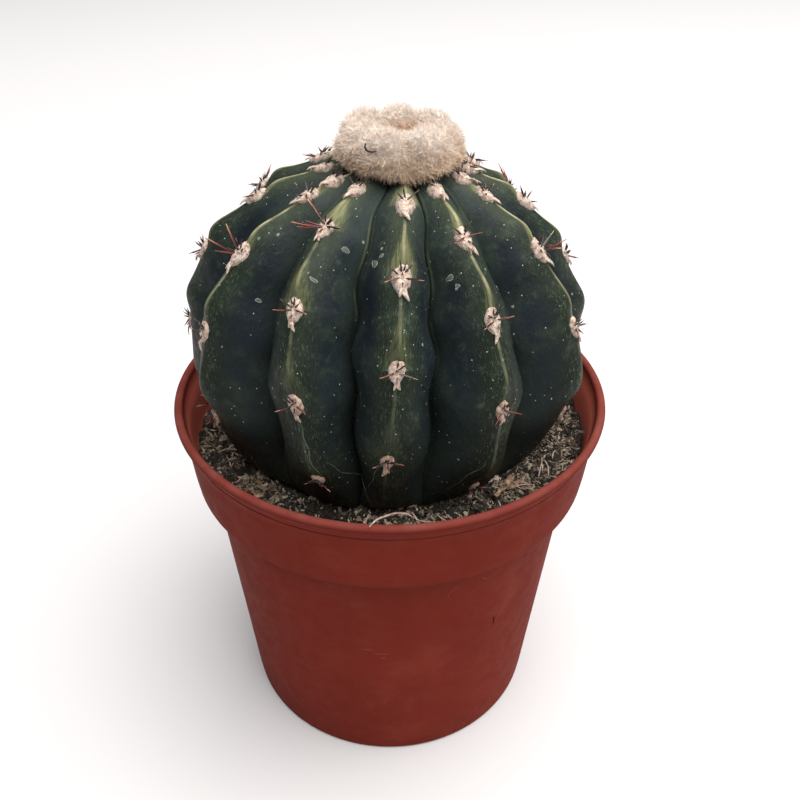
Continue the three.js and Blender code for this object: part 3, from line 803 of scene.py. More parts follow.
def felt():
    """Matted wool on the areoles: matt, with a sheen at its edges, and tanner near the ground."""
    made, tree, shader = material("areole_felt", 0.95)
    place = add(tree, "place")
    lumps = add(tree, "noise", place, 1 / (1.0 * MM), 4, 0.65)
    colour = add(tree, "ramp", add(tree, "range", lumps, 0.32, 0.68), stops=[
        (0.0, "7f685a"), (0.35, "ac9689"), (1.0, "d0c2b5")])
    up = add(tree, "height", place)
    colour = add(tree, "mix", add(tree, "range", up, *FELT_TAN_HEIGHTS, 0, 0.65), colour, "b58f70",
                 blend_type="MULTIPLY")
    tree.links.new(colour, shader.inputs["Base Color"])
    shader.inputs["Sheen Weight"].default_value = 0.35
    shader.inputs["Sheen Roughness"].default_value = 0.5
    tree.links.new(add(tree, "bump", lumps, 0.35 * MM), shader.inputs["Normal"])
    return made


felt_material = felt()
in_place(felt_pads, felt_material, "wool")


# %% [markdown]
# ## Growing repeats with Geometry Nodes
# Spines, wool fibres and crumbs of potting mix are many copies of one small shape. Each is grown
# by a node tree on a carrier mesh: the tree makes the shape, puts a copy at each point, turns and
# scales it, and ends in real geometry. The result is read off as a plain mesh, and the carrier
# goes.

# %% Helpers for node trees
def node_tree(name, sizes):
    """A Geometry Nodes tree with named inputs, given as {name: socket kind}."""
    tree = bpy.data.node_groups.new(name, "GeometryNodeTree")
    tree.interface.new_socket("Geometry", in_out="INPUT", socket_type="NodeSocketGeometry")
    for label, kind in sizes.items():
        tree.interface.new_socket(label, in_out="INPUT", socket_type="NodeSocket" + kind)
    tree.interface.new_socket("Geometry", in_out="OUTPUT", socket_type="NodeSocketGeometry")
    return tree, tree.nodes.new("NodeGroupInput").outputs, tree.nodes.new("NodeGroupOutput").inputs


def grown(name, carrier, tree, values):
    """The mesh that a tree grows on a carrier, as a new piece. The carrier is removed."""
    modifier = carrier.modifiers.new("grow", "NODES")
    modifier.node_group = tree
    identifiers = {item.name: item.identifier for item in tree.interface.items_tree
                   if item.in_out == "INPUT"}
    for label, value in values.items():
        modifier[identifiers[label]] = value
    evaluated = carrier.evaluated_get(bpy.context.evaluated_depsgraph_get())
    mesh = bpy.data.meshes.new_from_object(evaluated)
    mesh.name = name
    carrier.modifiers.remove(modifier)
    bpy.data.objects.remove(carrier)
    return placed(name, mesh)


print("helpers for node trees ready")


# %% [markdown]
# ## Spines
# Most areoles have eight spines: a fan of four short black ones over the upper part of the pad, a
# longer red-brown pair at its sides, one below and one in the middle. All are awl-shaped, nearly
# straight, thick and nearly black where they leave the felt. A few areoles bear long red-brown
# spines on one side.

# %% Where the spines stand
# the way they point round the pad (0 is up), lean from straight out, length, thickness, how far from
# the middle of the pad they stand (1 is at its edge), and how red they are
SPINE_KINDS = [
    (-55, 58, 2.3, 0.27, 0.45, 0.1), (-18, 55, 2.1, 0.26, 0.4, 0), (18, 55, 2.1, 0.26, 0.4, 0),
    (55, 58, 2.3, 0.27, 0.45, 0.1), (-106, 66, 3.6, 0.29, 0.5, 0.8), (106, 66, 3.6, 0.29, 0.5, 0.8),
    (172, 60, 1.7, 0.24, 0.45, 0.2), (0, 12, 1.0, 0.25, 0.15, 0),
]
LONG_KINDS = [(-66, 62, 5.6, 0.34, 0.5, 1), (-92, 64, 6.4, 0.36, 0.55, 1), (-122, 62, 5.0, 0.33, 0.5, 1)]
# areoles with long spines on one side, by rib and row: -1 is the left side
LONG_SPINED = {(1, 2): -1, (2, 1): -1, (5, 2): 1, (7, 2): 1, (8, 1): 1, (9, 3): -1, (11, 2): -1,
               (10, 2): -1}
YOUNG = (3, 1)                   # the top areole in front has only its short spines, as those of the crown
BRISTLING = (0, 4)               # the old areole low on the left bears a ring of red-brown spines
BRISTLES = [(turn, 42, 5.0, 0.34, 0.5, 1) for turn in range(0, 360, 36)]
SPINE_ROOT = 0.7

spine_places, spine_directions, spine_sizes, spine_redness = [], [], [], []


def plant_spine(place, direction, length, thickness, red):
    spine_places.append(place - SPINE_ROOT * direction)
    spine_directions.append(direction)
    spine_sizes.append((thickness, thickness, length + SPINE_ROOT))
    spine_redness.append(red)


for rib, row, elevation in areoles:
    centre, side, down_rib, out = crest_axes(rib, elevation)
    size = pad_size(rib, row, elevation)
    kinds = list(SPINE_KINDS[:4] if elevation == CROWN_AREOLE or (rib, row) == YOUNG else SPINE_KINDS)
    if (rib, row) in LONG_SPINED:
        kinds += [(-turn * LONG_SPINED[rib, row], *rest) for turn, *rest in LONG_KINDS]
    if (rib, row) == BRISTLING:
        kinds += BRISTLES
    for turn, lean, length, thickness, from_middle, red in kinds:
        if length < 4 and draw.random() < 0.1:
            continue
        turn = math.radians(turn + draw.normal(0, 8))
        lean = math.radians(lean + draw.normal(0, 6))
        along_pad = -math.cos(turn) * down_rib + math.sin(turn) * side
        direction = math.sin(lean) * along_pad + math.cos(lean) * out
        rooted = (centre + from_middle * size * PAD_HALF_WIDTH * math.sin(turn) * side
                  - from_middle * size * PAD_HALF_HEIGHT * math.cos(turn) * down_rib
                  + 0.98 * size * PAD_PROUD * out)
        grown_to = size ** 0.5 * length * draw.uniform(0.8, 1.2)
        plant_spine(rooted, direction, grown_to, thickness * size ** 0.5, red)

# bristles of the youngest areoles, under the rim of the wool
for azimuth in np.arange(0, 360, 15) + draw.uniform(-7, 7, 24):
    outward = around(0, 1, azimuth, 0)
    direction = 0.85 * outward + np.array((0, 0, draw.uniform(0.3, 1.1))) + 0.25 * draw.standard_normal(3)
    plant_spine(around(WOOL_X, draw.uniform(12, 13.5), azimuth, 183.5),
                direction / np.linalg.norm(direction),
                draw.uniform(1.3, 2.2), 0.15, 0.5)
spine_roots = mesh_piece("spine_roots", spine_places, [])
store(spine_roots, "redness", spine_redness)
store(spine_roots, "direction", spine_directions)
store(spine_roots, "size", np.array(spine_sizes) * MM)
print(len(spine_places), "spines")


# %% Spines grown on their roots
def spine_tree(finish):
    tree, given, result = node_tree("awl_spines", {"Bow": "Float", "Sides": "Int", "Seed": "Int"})
    middle = add(tree, "ShaderNodeCombineXYZ", {"X": given["Bow"], "Z": 0.5})
    axis = add(tree, "GeometryNodeCurveQuadraticBezier",
               {"Resolution": 5, "Start": (0, 0, 0), "Middle": middle, "End": (0, 0, 1)})
    factor = add(tree, "GeometryNodeSplineParameter")
    taper = add(tree, "ShaderNodeMapRange",
                {"Value": factor, "From Min": 0.12, "From Max": 1.0, "To Min": 1.0, "To Max": 0.1})
    axis = add(tree, "GeometryNodeStoreNamedAttribute",
               {"Geometry": axis, "Name": "along", "Value": factor},
               data_type="FLOAT", domain="POINT")
    axis = add(tree, "GeometryNodeSetCurveRadius", {"Curve": axis, "Radius": taper})
    ring = add(tree, "GeometryNodeCurvePrimitiveCircle", {"Resolution": given["Sides"], "Radius": 1.0})
    awl = add(tree, "GeometryNodeCurveToMesh",
              {"Curve": axis, "Profile Curve": ring, "Scale": taper, "Fill Caps": True})
    directions = add(tree, "GeometryNodeInputNamedAttribute", {"Name": "direction"},
                     data_type="FLOAT_VECTOR")
    sizes = add(tree, "GeometryNodeInputNamedAttribute", {"Name": "size"}, data_type="FLOAT_VECTOR")
    turned = add(tree, "FunctionNodeAlignRotationToVector", {"Vector": directions}, axis="Z")
    spin = add(tree, "FunctionNodeAxisAngleToRotation",
               {"Axis": (0, 0, 1),
                "Angle": add(tree, "random number", 0.0, math.tau, add(tree, "sum", given["Seed"], 1))})
    turned = add(tree, "FunctionNodeRotateRotation", {0: turned, 1: spin}, rotation_space="LOCAL")
    copies = add(tree, "GeometryNodeInstanceOnPoints",
                 {"Points": given["Geometry"], "Instance": awl, "Rotation": turned, "Scale": sizes})
    real = add(tree, "GeometryNodeRealizeInstances", {"Geometry": copies})
    real = add(tree, "GeometryNodeSetShadeSmooth", {"Geometry": real})
    add_material = add(tree, "GeometryNodeSetMaterial", {"Geometry": real, "Material": finish})
    tree.links.new(add_material, result["Geometry"])
    return tree


def spine_horn():
    """Spines are horn-like: hard, smooth and slightly translucent at the tip."""
    made, tree, shader = material("cactus_spine", 0.4, ior=1.54)
    dark = add(tree, "ramp", add(tree, "attribute", attribute_name="along"),
               stops=[(0.0, "0d0908"), (0.6, "1c100c"), (1.0, "5b3b2f")])
    red = add(tree, "ramp", add(tree, "attribute", attribute_name="along"), stops=[
        (0.0, "120b09"), (0.3, "3a140d"), (0.55, "7a2f1f"), (0.85, "9f553e"), (1.0, "dcc3ab")])
    tree.links.new(add(tree, "mix", add(tree, "attribute", attribute_name="redness"), dark, red),
                   shader.inputs["Base Color"])
    return made


horn = spine_horn()
spines = grown("spines", spine_roots, spine_tree(horn), {"Bow": 1.2, "Sides": 6, "Seed": 3})
in_place(spines, horn, "cactus")


# %% [markdown]
# ## Woolly crown
# The crown is a cushion of matted wool with a hollow in its middle, from which new wool grows.
# Its body is a closed mesh by the solid's rule, with finer lobes and folds. Tens of thousands of
# crimped fibres stand on it, most of them laid over, so that its outline is fuzzy.

# %% Body of the wool
WOOL_RADIUS, WOOL_WIDEST_Z, WOOL_TOP_Z = 16.4, 187.2, 195.4
WOOL_CREST_RADIUS, WOOL_DIMPLE = 10.9, 5.5
HOLLOW = (3.4, 0.5, 190.5)       # middle of the dimple, round which the wool is painted tan as shade
WOOL_ROUND = 160
# puffs of wool round the crown: azimuth, how far they stand out, up, and half their width in degrees;
# the last few are the clefts between them
PUFFS = [(-118, 0.8, 1.0, 25), (-66, 0.7, 0.5, 20), (-20, 0.9, 0.8, 22), (34, 1.1, 0.5, 24),
         (84, 0.7, -0.4, 19), (132, 0.6, 0.3, 23), (181, 0.5, 0.9, 20),
         (9, -0.9, -1.9, 9), (-46, -0.7, -0.9, 8), (62, -0.5, -0.6, 9), (-150, -0.4, -0.9, 9),
         (158, -0.4, -1.0, 9)]
PUFF_BASE = 0.9                  # the valleys between the puffs lie this far inside the solid
COAT_ROOM = 0.6                  # and the body is this much smaller than the solid, for its fibres


def wool_profile():
    """Radius, height and share of the lobes, from the dimple over the top to the seat."""
    points = []
    for t in np.linspace(0.04, 1, 18)[:-1]:
        depth = 0.5 + 0.5 * math.cos(math.pi * t)
        points.append((t * WOOL_CREST_RADIUS, WOOL_TOP_Z - WOOL_DIMPLE * depth, t ** 0.7))
    for a in np.radians(np.linspace(90, 0, 18)):
        z = WOOL_WIDEST_Z + (WOOL_TOP_Z - WOOL_WIDEST_Z) * math.sin(a)
        radius = WOOL_CREST_RADIUS + (WOOL_RADIUS - WOOL_CREST_RADIUS) * math.cos(a) ** 0.8
        points.append((radius, z, 1))
    for a in np.radians(np.linspace(0, 90, 14)[1:]):
        z = WOOL_WIDEST_Z - (WOOL_WIDEST_Z - WOOL_SEAT_Z) * (1 - math.cos(a)) ** 0.8
        radius = WOOL_RADIUS - (WOOL_RADIUS - WOOL_SEAT_RADIUS) * math.sin(a) ** 2.2
        points.append((radius, z, math.cos(a)))
    return points


def puffs(azimuth):
    """How far the puffs stand out and up at azimuths."""
    out, up = -PUFF_BASE, -PUFF_BASE
    for centre, outward, upward, width in PUFFS:
        near = np.exp(-(((azimuth - centre + 180) % 360 - 180) / width) ** 2)
        out, up = out + outward * near, up + upward * near
    return out, up


def wool_body():
    azimuth = np.arange(WOOL_ROUND) * 360 / WOOL_ROUND
    rings_of_wool = []
    puff_out, puff_up = puffs(azimuth)
    for radius, z, share in wool_profile():
        ring = around(WOOL_X, radius + share * puff_out, azimuth, z + share * puff_up)
        for place in ring:
            soft = noise.noise(Vector(place) / 5) * 1.0 + noise.noise(Vector(place) / 2.2) * 0.8
            outward = Vector((place[0] - WOOL_X, place[1], 1.5 * (place[2] - WOOL_WIDEST_Z))).normalized()
            place += np.array(outward) * (soft - COAT_ROOM) * min(1, share * 1.2)
        rings_of_wool.append(ring)
    return loft(rings_of_wool, (WOOL_X, 0, WOOL_TOP_Z - WOOL_DIMPLE), (WOOL_X, 0, WOOL_SEAT_Z))


wool_core = mesh_piece("wool_body", *wool_body())


# %% Wool and its fibres
def matted_wool(name, stops):
    """Cactus wool is unspun fibre: matt and cream; the pinkish tan down its sides, in its dimple and at its
    seat is painted shade.
    """
    made, tree, shader = material(name, 1.0)
    place = add(tree, "place")
    tufts = add(tree, "noise", place, 1 / (2.4 * MM), 5, 0.7)
    tufts = add(tree, "range", tufts, 0.3, 0.7)
    up = add(tree, "height", place)
    # Browner at the seat, where the wool sits on the skin: painted shade.
    painted_seat_shade = add(tree, "range", up, WOOL_SEAT_Z * MM, (WOOL_SEAT_Z + 4) * MM, 1, 0)
    # Tan on the lower sides, fading up to the top: painted shade.
    flank = add(tree, "range", up, (WOOL_SEAT_Z + 4) * MM, WOOL_TOP_Z * MM, 0.65, 0)
    from_hollow = add(tree, "ShaderNodeVectorMath", {0: place, 1: Vector(HOLLOW) * MM},
                      operation="DISTANCE", out="Value")
    # Pinkish tan round the middle of the dimple: painted shade in the hollow.
    painted_dimple_shade = add(tree, "range", from_hollow, 2.5 * MM, 7.5 * MM, 0.7, 0)
    colour = add(tree, "ramp", tufts, stops=stops)
    colour = add(tree, "mix", times(tree, add(tree, "attribute", attribute_name="tone"), 0.3), colour,
                 "f0d2b8")
    colour = add(tree, "mix", flank, colour, "dcb482")
    colour = add(tree, "mix", painted_dimple_shade, colour, "e6bd96")
    colour = add(tree, "mix", times(tree, painted_seat_shade, 0.7), colour, "a87657")
    colour = add(tree, "mix", flecks(tree, place, 7.0, 0.7, 0.3, ragged=0.8), colour, "4a3528")
    tree.links.new(colour, shader.inputs["Base Color"])
    shader.inputs["Sheen Weight"].default_value = 0.4
    shader.inputs["Sheen Roughness"].default_value = 0.6
    tree.links.new(add(tree, "bump", add(tree, "noise", place, 1 / (0.6 * MM), 4, 0.7), 0.35 * MM),
                   shader.inputs["Normal"])
    return made


def fibre_tree(finish):
    """Crimped fibres on a surface, each at a random lean from it."""
    tree, given, result = node_tree("matted_fibres", {
        "Density": "Float", "Length": "Float", "Thickness": "Float", "Lean": "Float", "Crimp": "Float",
        "Bends": "Int", "Seed": "Int"})
    seeds = [add(tree, "sum", given["Seed"], number) for number in (1, 2, 3, 4)]
    spots = add(tree, "GeometryNodeDistributePointsOnFaces",
                {"Mesh": given["Geometry"], "Density": given["Density"], "Seed": given["Seed"]})
    strand = add(tree, "GeometryNodeCurvePrimitiveLine", {"Start": (0, 0, -0.12), "End": (0, 0, 0.88)})
    strand = add(tree, "GeometryNodeResampleCurve", {"Curve": strand, "Count": given["Bends"]})
    factor = add(tree, "GeometryNodeSplineParameter")
    wave = add(tree, "product", factor, 4.7)
    across = add(tree, "ShaderNodeMath", {0: wave}, operation="SINE")
    beside = add(tree, "ShaderNodeMath", {0: wave}, operation="COSINE")
    offset = add(tree, "ShaderNodeCombineXYZ", {"X": across, "Y": beside})
    offset = add(tree, "scaled", offset, given["Crimp"])
    strand = add(tree, "GeometryNodeSetPosition", {"Geometry": strand, "Offset": offset})
    taper = add(tree, "ShaderNodeMapRange", {"Value": factor, "To Min": 1.0, "To Max": 0.25})
    ring = add(tree, "GeometryNodeCurvePrimitiveCircle", {"Resolution": 3, "Radius": given["Thickness"]})
    strand = add(tree, "GeometryNodeCurveToMesh",
                 {"Curve": strand, "Profile Curve": ring, "Scale": taper, "Fill Caps": True})
    whorls = add(tree, "ShaderNodeTexNoise", {"Vector": add(tree, "GeometryNodeInputPosition"),
                                              "Scale": 1 / (2.6 * MM), "Detail": 1.0})
    spin = add(tree, "random number", -0.8, 0.8, seeds[0])
    spin = add(tree, "product and sum", whorls, 4 * math.tau, spin)
    lean = add(tree, "random number", 0.15, 1.0, seeds[1])
    lean = add(tree, "product", lean, given["Lean"])
    about = add(tree, "FunctionNodeAxisAngleToRotation", {"Axis": (0, 0, 1), "Angle": spin})
    over = add(tree, "FunctionNodeAxisAngleToRotation", {"Axis": (1, 0, 0), "Angle": lean})
    turned = add(tree, "FunctionNodeRotateRotation", {0: spots.node.outputs["Rotation"], 1: about},
                 rotation_space="LOCAL")
    turned = add(tree, "FunctionNodeRotateRotation", {0: turned, 1: over}, rotation_space="LOCAL")
    length = add(tree, "random number", 0.55, 1.25, seeds[2])
    length = add(tree, "product", length, given["Length"])
    copies = add(tree, "GeometryNodeInstanceOnPoints",
                 {"Points": spots, "Instance": strand, "Rotation": turned,
                  "Scale": length})
    copies = add(tree, "GeometryNodeStoreNamedAttribute", {
        "Geometry": copies, "Name": "tone", "Value": add(tree, "random number", 0.0, 1.0, seeds[3])},
        data_type="FLOAT", domain="INSTANCE")
    real = add(tree, "GeometryNodeRealizeInstances", {"Geometry": copies})
    finished = add(tree, "GeometryNodeSetMaterial", {"Geometry": real, "Material": finish})
    tree.links.new(finished, result["Geometry"])
    return tree


wool_material = matted_wool("matted_cactus_wool", [(0.0, "f8e6d9"), (0.45, "fff4ea"), (1.0, "fffcf8")])
fibres = fibre_tree(wool_material)
# Length in mm; thickness as a share of it, three times a real fibre's so that it shows; the most that
# the fibres lean, in radians; and density per square metre. Four coats keep each piece small.
WOOL_COATS = {"wool_undercoat": (1.9, 0.05, 1.45, 4.2e6), "wool_coat": (2.1, 0.045, 1.35, 4.2e6),
              "wool_fuzz": (1.7, 0.034, 1.1, 4.2e6), "wool_tufts": (2.4, 0.034, 1.4, 4.0e6)}
for number, (name, (length, thickness, lean, density)) in enumerate(WOOL_COATS.items()):
    coat = grown(name, placed(name + "_carrier", wool_core.data.copy()), fibres, {
        "Density": density, "Length": length * MM, "Thickness": thickness, "Lean": lean, "Crimp": 0.13,
        "Bends": 4, "Seed": 11 + number})
    in_place(coat, wool_material, "wool")
in_place(wool_core, wool_material, "wool", "cephalium")


# %% [markdown]
# ## Fringe on the areoles
# The same fibres, shorter and finer, make the felt of the areoles ragged at its edge.

# %% Felt fringe
fringe_carrier = placed("fringe_carrier", felt_pads.data.copy())
fringe = grown("areole_fringe", fringe_carrier, fibre_tree(felt_material), {
    "Density": 2.2e6, "Length": 0.45 * MM, "Thickness": 0.09, "Lean": 1.5, "Crimp": 0.15, "Bends": 3,
    "Seed": 21})
in_place(fringe, felt_material, "wool")


# %% [markdown]
# ## Pot
# The pot is injection-moulded: a tapered wall with a wide collar over a step, a rolled lip with a
# thin bead under it, a raised floor with drain holes and a foot ring. It is one profile turned
# round the axis, with small rounds at every edge, and the holes are cut by a boolean.

# %% Mesh of the pot
RIM_RADIUS, POT_HEIGHT = 65, 115
LIP_HEIGHT, LIP_INNER_RADIUS = 2.9, 62.4
COLLAR_TOP_RADIUS, COLLAR_FOOT_RADIUS = 63.1, 61.1
STEP_HEIGHT, STEP_RADIUS, STEP_ROUNDING, STEP_RISE = 88.6, 56.6, 1.6, 0.6
BASE_RADIUS, BASE_ROUNDING, WALL = 49.2, 1.4, 1.7
FOOT_RING_WIDTH, FOOT_RECESS, FLOOR_THICKNESS, FLOOR_ROUNDING = 3.6, 2.4, 1.8, 1.2
DRAIN_HOLES, DRAIN_RADIUS, DRAIN_CIRCLE = 6, 4.5, 30
BEAD_DROP, BEAD_PROUD = 2.9, 0.16       # a thin bead on the collar, this far under the lip
POT_SIDES = 180

COLLAR_TOP = POT_HEIGHT - LIP_HEIGHT
FLOOR_TOP = FOOT_RECESS + FLOOR_THICKNESS
INNER_STEP = STEP_HEIGHT + STEP_ROUNDING + WALL


def wall_radius(z):
    """Outer radius of the pot's wall, and of its collar above the step."""
    if z > STEP_HEIGHT + WALL:
        share = (z - STEP_HEIGHT) / (COLLAR_TOP - STEP_HEIGHT)
        return COLLAR_FOOT_RADIUS + (COLLAR_TOP_RADIUS - COLLAR_FOOT_RADIUS) * share
    return BASE_RADIUS + (STEP_RADIUS - BASE_RADIUS) * z / STEP_HEIGHT


def arc(centre, radius, start, end, steps):
    """Points of an arc in the profile, from a start to an end in degrees from outward."""
    angles = np.radians(np.linspace(start, end, steps + 1))
    return [(centre[0] + radius * math.cos(a), centre[1] + radius * math.sin(a)) for a in angles]


def pot_profile():
    """Radius and height from the middle of the floor, up inside, over the lip and down outside."""
    lip_radius = (RIM_RADIUS - LIP_INNER_RADIUS) / 2
    lip_centre = (RIM_RADIUS - lip_radius, POT_HEIGHT - lip_radius)
    bead_z = COLLAR_TOP - BEAD_DROP
    bead_radius = wall_radius(bead_z)
    foot_inner = BASE_RADIUS - BASE_ROUNDING - FOOT_RING_WIDTH
    inside = [(r, FLOOR_TOP) for r in (14, 24, 36, wall_radius(FLOOR_TOP) - WALL - FLOOR_ROUNDING)]
    inside += [(wall_radius(z) - WALL, z) for z in (FLOOR_TOP + FLOOR_ROUNDING, 30, 60, STEP_HEIGHT - 0.5)]
    inside += [(wall_radius(STEP_HEIGHT) - WALL + 0.3, STEP_HEIGHT + WALL / 2)]
    inside += [(wall_radius(INNER_STEP) - WALL - 0.4, INNER_STEP - 0.25),
               (wall_radius(INNER_STEP) - WALL, INNER_STEP + 0.3)]
    inside += [(wall_radius(z) - WALL, z) for z in (100, 106, COLLAR_TOP - 2)]
    over = arc(lip_centre, lip_radius, 180, 0, 14)
    outside = [(RIM_RADIUS - 0.08, COLLAR_TOP + 1.1), (RIM_RADIUS - 0.3, COLLAR_TOP + 0.7),
               (RIM_RADIUS - 0.62, COLLAR_TOP + 0.4), (RIM_RADIUS - 0.95, COLLAR_TOP),
               (RIM_RADIUS - 1.2, COLLAR_TOP - 0.6), (RIM_RADIUS - 1.5, COLLAR_TOP - 1.4),
               (COLLAR_TOP_RADIUS, COLLAR_TOP - 2.2)]
    outside += [(bead_radius, bead_z + 0.35), (bead_radius + BEAD_PROUD, bead_z + 0.12),
                (bead_radius + BEAD_PROUD, bead_z - 0.12), (bead_radius, bead_z - 0.35)]
    outside += [(wall_radius(z), z) for z in (106, 100, 95)]
    step_centre = (COLLAR_FOOT_RADIUS - STEP_ROUNDING, STEP_HEIGHT + STEP_ROUNDING + STEP_RISE)
    outside += arc(step_centre, STEP_ROUNDING, 0, -90, 8)
    outside += [(STEP_RADIUS + 0.5, STEP_HEIGHT + 0.1), (STEP_RADIUS + 0.05, STEP_HEIGHT - 0.25),
                (wall_radius(STEP_HEIGHT - 1), STEP_HEIGHT - 1)]
    outside += [(wall_radius(z), z) for z in (75, 60, 45, 30, 15, 5)]
    outside += arc((BASE_RADIUS - BASE_ROUNDING, BASE_ROUNDING), BASE_ROUNDING, 0, -90, 6)
    under = [(foot_inner + 0.3, 0), (foot_inner, 0.2), (foot_inner - FOOT_RECESS / 2, FOOT_RECESS - 0.2),
             (foot_inner - FOOT_RECESS / 2 - 0.3, FOOT_RECESS), (36, FOOT_RECESS), (24, FOOT_RECESS),
             (14, FOOT_RECESS)]
    return inside + over + outside + under


def drilled(piece):
    """Cuts the drain holes through a piece."""
    drills = []
    for i in range(DRAIN_HOLES):
        centre = around(0, DRAIN_CIRCLE, (i + 0.5) * 360 / DRAIN_HOLES, 0)
        ring = around(0, DRAIN_RADIUS, np.arange(32) * 360 / 32, 0) + centre
        high_ring, low_ring = ring + (0, 0, 2 * FLOOR_TOP), ring - (0, 0, FLOOR_TOP)
        drills.append(loft([high_ring, low_ring], high_ring.mean(0), low_ring.mean(0)))
    tool = mesh_piece("drain_drills", *joined(drills))
    cut = piece.modifiers.new("drain_holes", "BOOLEAN")
    cut.operation, cut.solver, cut.object = "DIFFERENCE", "EXACT", tool
    evaluated = piece.evaluated_get(bpy.context.evaluated_depsgraph_get())
    mesh = bpy.data.meshes.new_from_object(evaluated)
    piece.modifiers.remove(cut)
    bpy.data.objects.remove(tool)
    piece.data = mesh
    mesh.name = piece.name
    return piece


pot_azimuths = np.arange(POT_SIDES) * 360 / POT_SIDES
pot_rings = [around(0, radius, pot_azimuths, z) for radius, z in pot_profile()]
pot = drilled(mesh_piece("nursery_pot", *loft(pot_rings, (0, 0, FLOOR_TOP), (0, 0, FOOT_RECESS))))
pot.data.set_sharp_from_angle(angle=math.radians(50))
pot_points = np.array([vertex.co for vertex in pot.data.vertices]) / MM
inside = [math.hypot(x, y) < wall_radius(z) - WALL / 2 and z > FLOOR_TOP + FLOOR_ROUNDING
          for x, y, z in pot_points]
store(pot, "inside", inside)


# %% [markdown]
# ## Moulded plastic
# Thin polypropylene, coloured terracotta red in the mass. It left the mould with a satin face:
# even colour, a soft broad highlight, faint rings from the machined mould, and a few scuffs. The
# wall lets some light through, and its inner face above the potting mix is painted a lighter,
# warmer red for that light. Painted shade darkens the lip and the groove at the step, and the top
# of the lip is paler with dust and a painted highlight.

# %% Moulded polypropylene
def moulded_plastic():
    """Moulded polypropylene: satin, an even brownish red, with faint rings, painted shade on the lip and at
    the step, and dust with a painted highlight on the lip's top.
    """
    made, tree, shader = material("terracotta_polypropylene", 0.5, ior=1.49)
    shader.inputs["Specular IOR Level"].default_value = 0.06
    place = add(tree, "place")
    cloud = add(tree, "noise", place, 1 / (30 * MM), 2)
    colour = add(tree, "mix", add(tree, "range", cloud, 0.35, 0.7, 0, 1), "672116", "6d2317")
    handled = add(tree, "noise", place, 1 / (16 * MM), 6, 0.6)
    colour = add(tree, "mix", add(tree, "range", handled, 0.5, 0.75, 0, 0.14), colour, "92503f")
    rings_place = add(tree, "ShaderNodeMapping", {"Vector": place, "Scale": (0.03, 0.03, 1)})
    mould_rings = add(tree, "noise", rings_place, 1 / (2.2 * MM), 3)
    colour = add(tree, "mix", add(tree, "range", mould_rings, 0.5, 0.8, 0, 0.25), colour, "671b10")
    scuff = add(tree, "noise", place, 1 / (5 * MM), 6, 0.75)
    colour = add(tree, "mix", add(tree, "range", scuff, 0.66, 0.8, 0, 0.2), colour, "a05f4d")
    up = add(tree, "height", place)
    # A paler pinkish band along the top of the lip: dust, and a painted highlight.
    dust_and_painted_highlight = times(tree, add(tree, "range", up, (POT_HEIGHT - 1.5) * MM, POT_HEIGHT * MM),
                 add(tree, "range", add(tree, "noise", place, 1 / (6 * MM), 4), 0.35, 0.75, 0.15, 0.3))
    # Darker from the foot of the lip upward: painted shade on the lip.
    painted_lip_shade = add(tree, "range", up, (COLLAR_TOP - 0.5) * MM, (COLLAR_TOP + 1) * MM, 0, 0.35)
    colour = add(tree, "mix", painted_lip_shade, colour, "4d1712")
    colour = add(tree, "mix", dust_and_painted_highlight, colour, "94645f")
    # A dark band in the groove at the step: painted shade.
    painted_step_shade = times(tree, add(tree, "range", up, (STEP_HEIGHT - 1.5) * MM, STEP_HEIGHT * MM),
                  add(tree, "range", up, (STEP_HEIGHT + 0.8) * MM, (STEP_HEIGHT + 2.4) * MM, 1, 0))
    colour = add(tree, "mix", times(tree, painted_step_shade, 0.5), colour, "43120a")
    # The inner face of the wall is painted a lighter, warmer red: painted light that comes through the thin
    # wall.
    colour = add(tree, "mix", add(tree, "attribute", attribute_name="inside"), colour, "de7766")
    tree.links.new(colour, shader.inputs["Base Color"])
    rough = add(tree, "range", scuff, 0.35, 0.7, 0.62, 0.78)
    tree.links.new(rough, shader.inputs["Roughness"])
    grain = add(tree, "noise", place, 1 / (0.5 * MM), 2)
    relief = add(tree, "product and sum", mould_rings, 2.0, grain)
    tree.links.new(add(tree, "bump", relief, 0.03 * MM), shader.inputs["Normal"])
    return made


in_place(pot, moulded_plastic(), "pot", "pot")


# %% Nick and scuffs on the pot
# azimuth and height of points, and thickness; thin ridges of torn plastic, half sunk in the wall
NICKS = [(0.34, [(34.6, 60.2), (35.4, 58.6), (35.6, 57.2), (35.3, 54.8)]),
         (0.2, [(36.6, 60.0), (35.5, 58.4)])]
SCUFFS = [(0.09, [(-9.5, 56.0), (-5.0, 55.7)]), (0.09, [(-6.0, 53.9), (-2.4, 54.2), (0.4, 53.8)]),
          (0.1, [(-3.4, 52.1), (-1.0, 52.2)]), (0.15, [(-2.4, 27.9), (-1.9, 27.5)]),
          (0.08, [(16.5, 78.0), (18.0, 80.5), (20.0, 81.4)]), (0.08, [(27.5, 82.0), (29.5, 80.5)]),
          (0.12, [(120.0, 40.0), (126.0, 40.8)]), (0.12, [(205.0, 62.0), (212.0, 61.5)])]


def mark_on_pot(thickness, stops):
    _, azimuth, height = sampled(stops, 12)
    radius = np.array([wall_radius(z) for z in height]) - 0.55 * thickness
    path = around(0, radius, azimuth, height)
    return tube(path, thickness * (1 - 0.8 * np.abs(np.linspace(-1, 1, 12)) ** 3), 6)


for name, marks_on_pot, colour in (("pot_nick", NICKS, "2c0b07"), ("pot_scuffs", SCUFFS, "8e5040")):
    piece = mesh_piece(name, *joined([mark_on_pot(*mark) for mark in marks_on_pot]))
    torn, _, torn_shader = material(name + "_plastic", 0.8, ior=1.49)
    torn_shader.inputs["Specular IOR Level"].default_value = 0.06
    torn_shader.inputs["Base Color"].default_value = to_linear(colour)
    in_place(piece, torn, "pot")


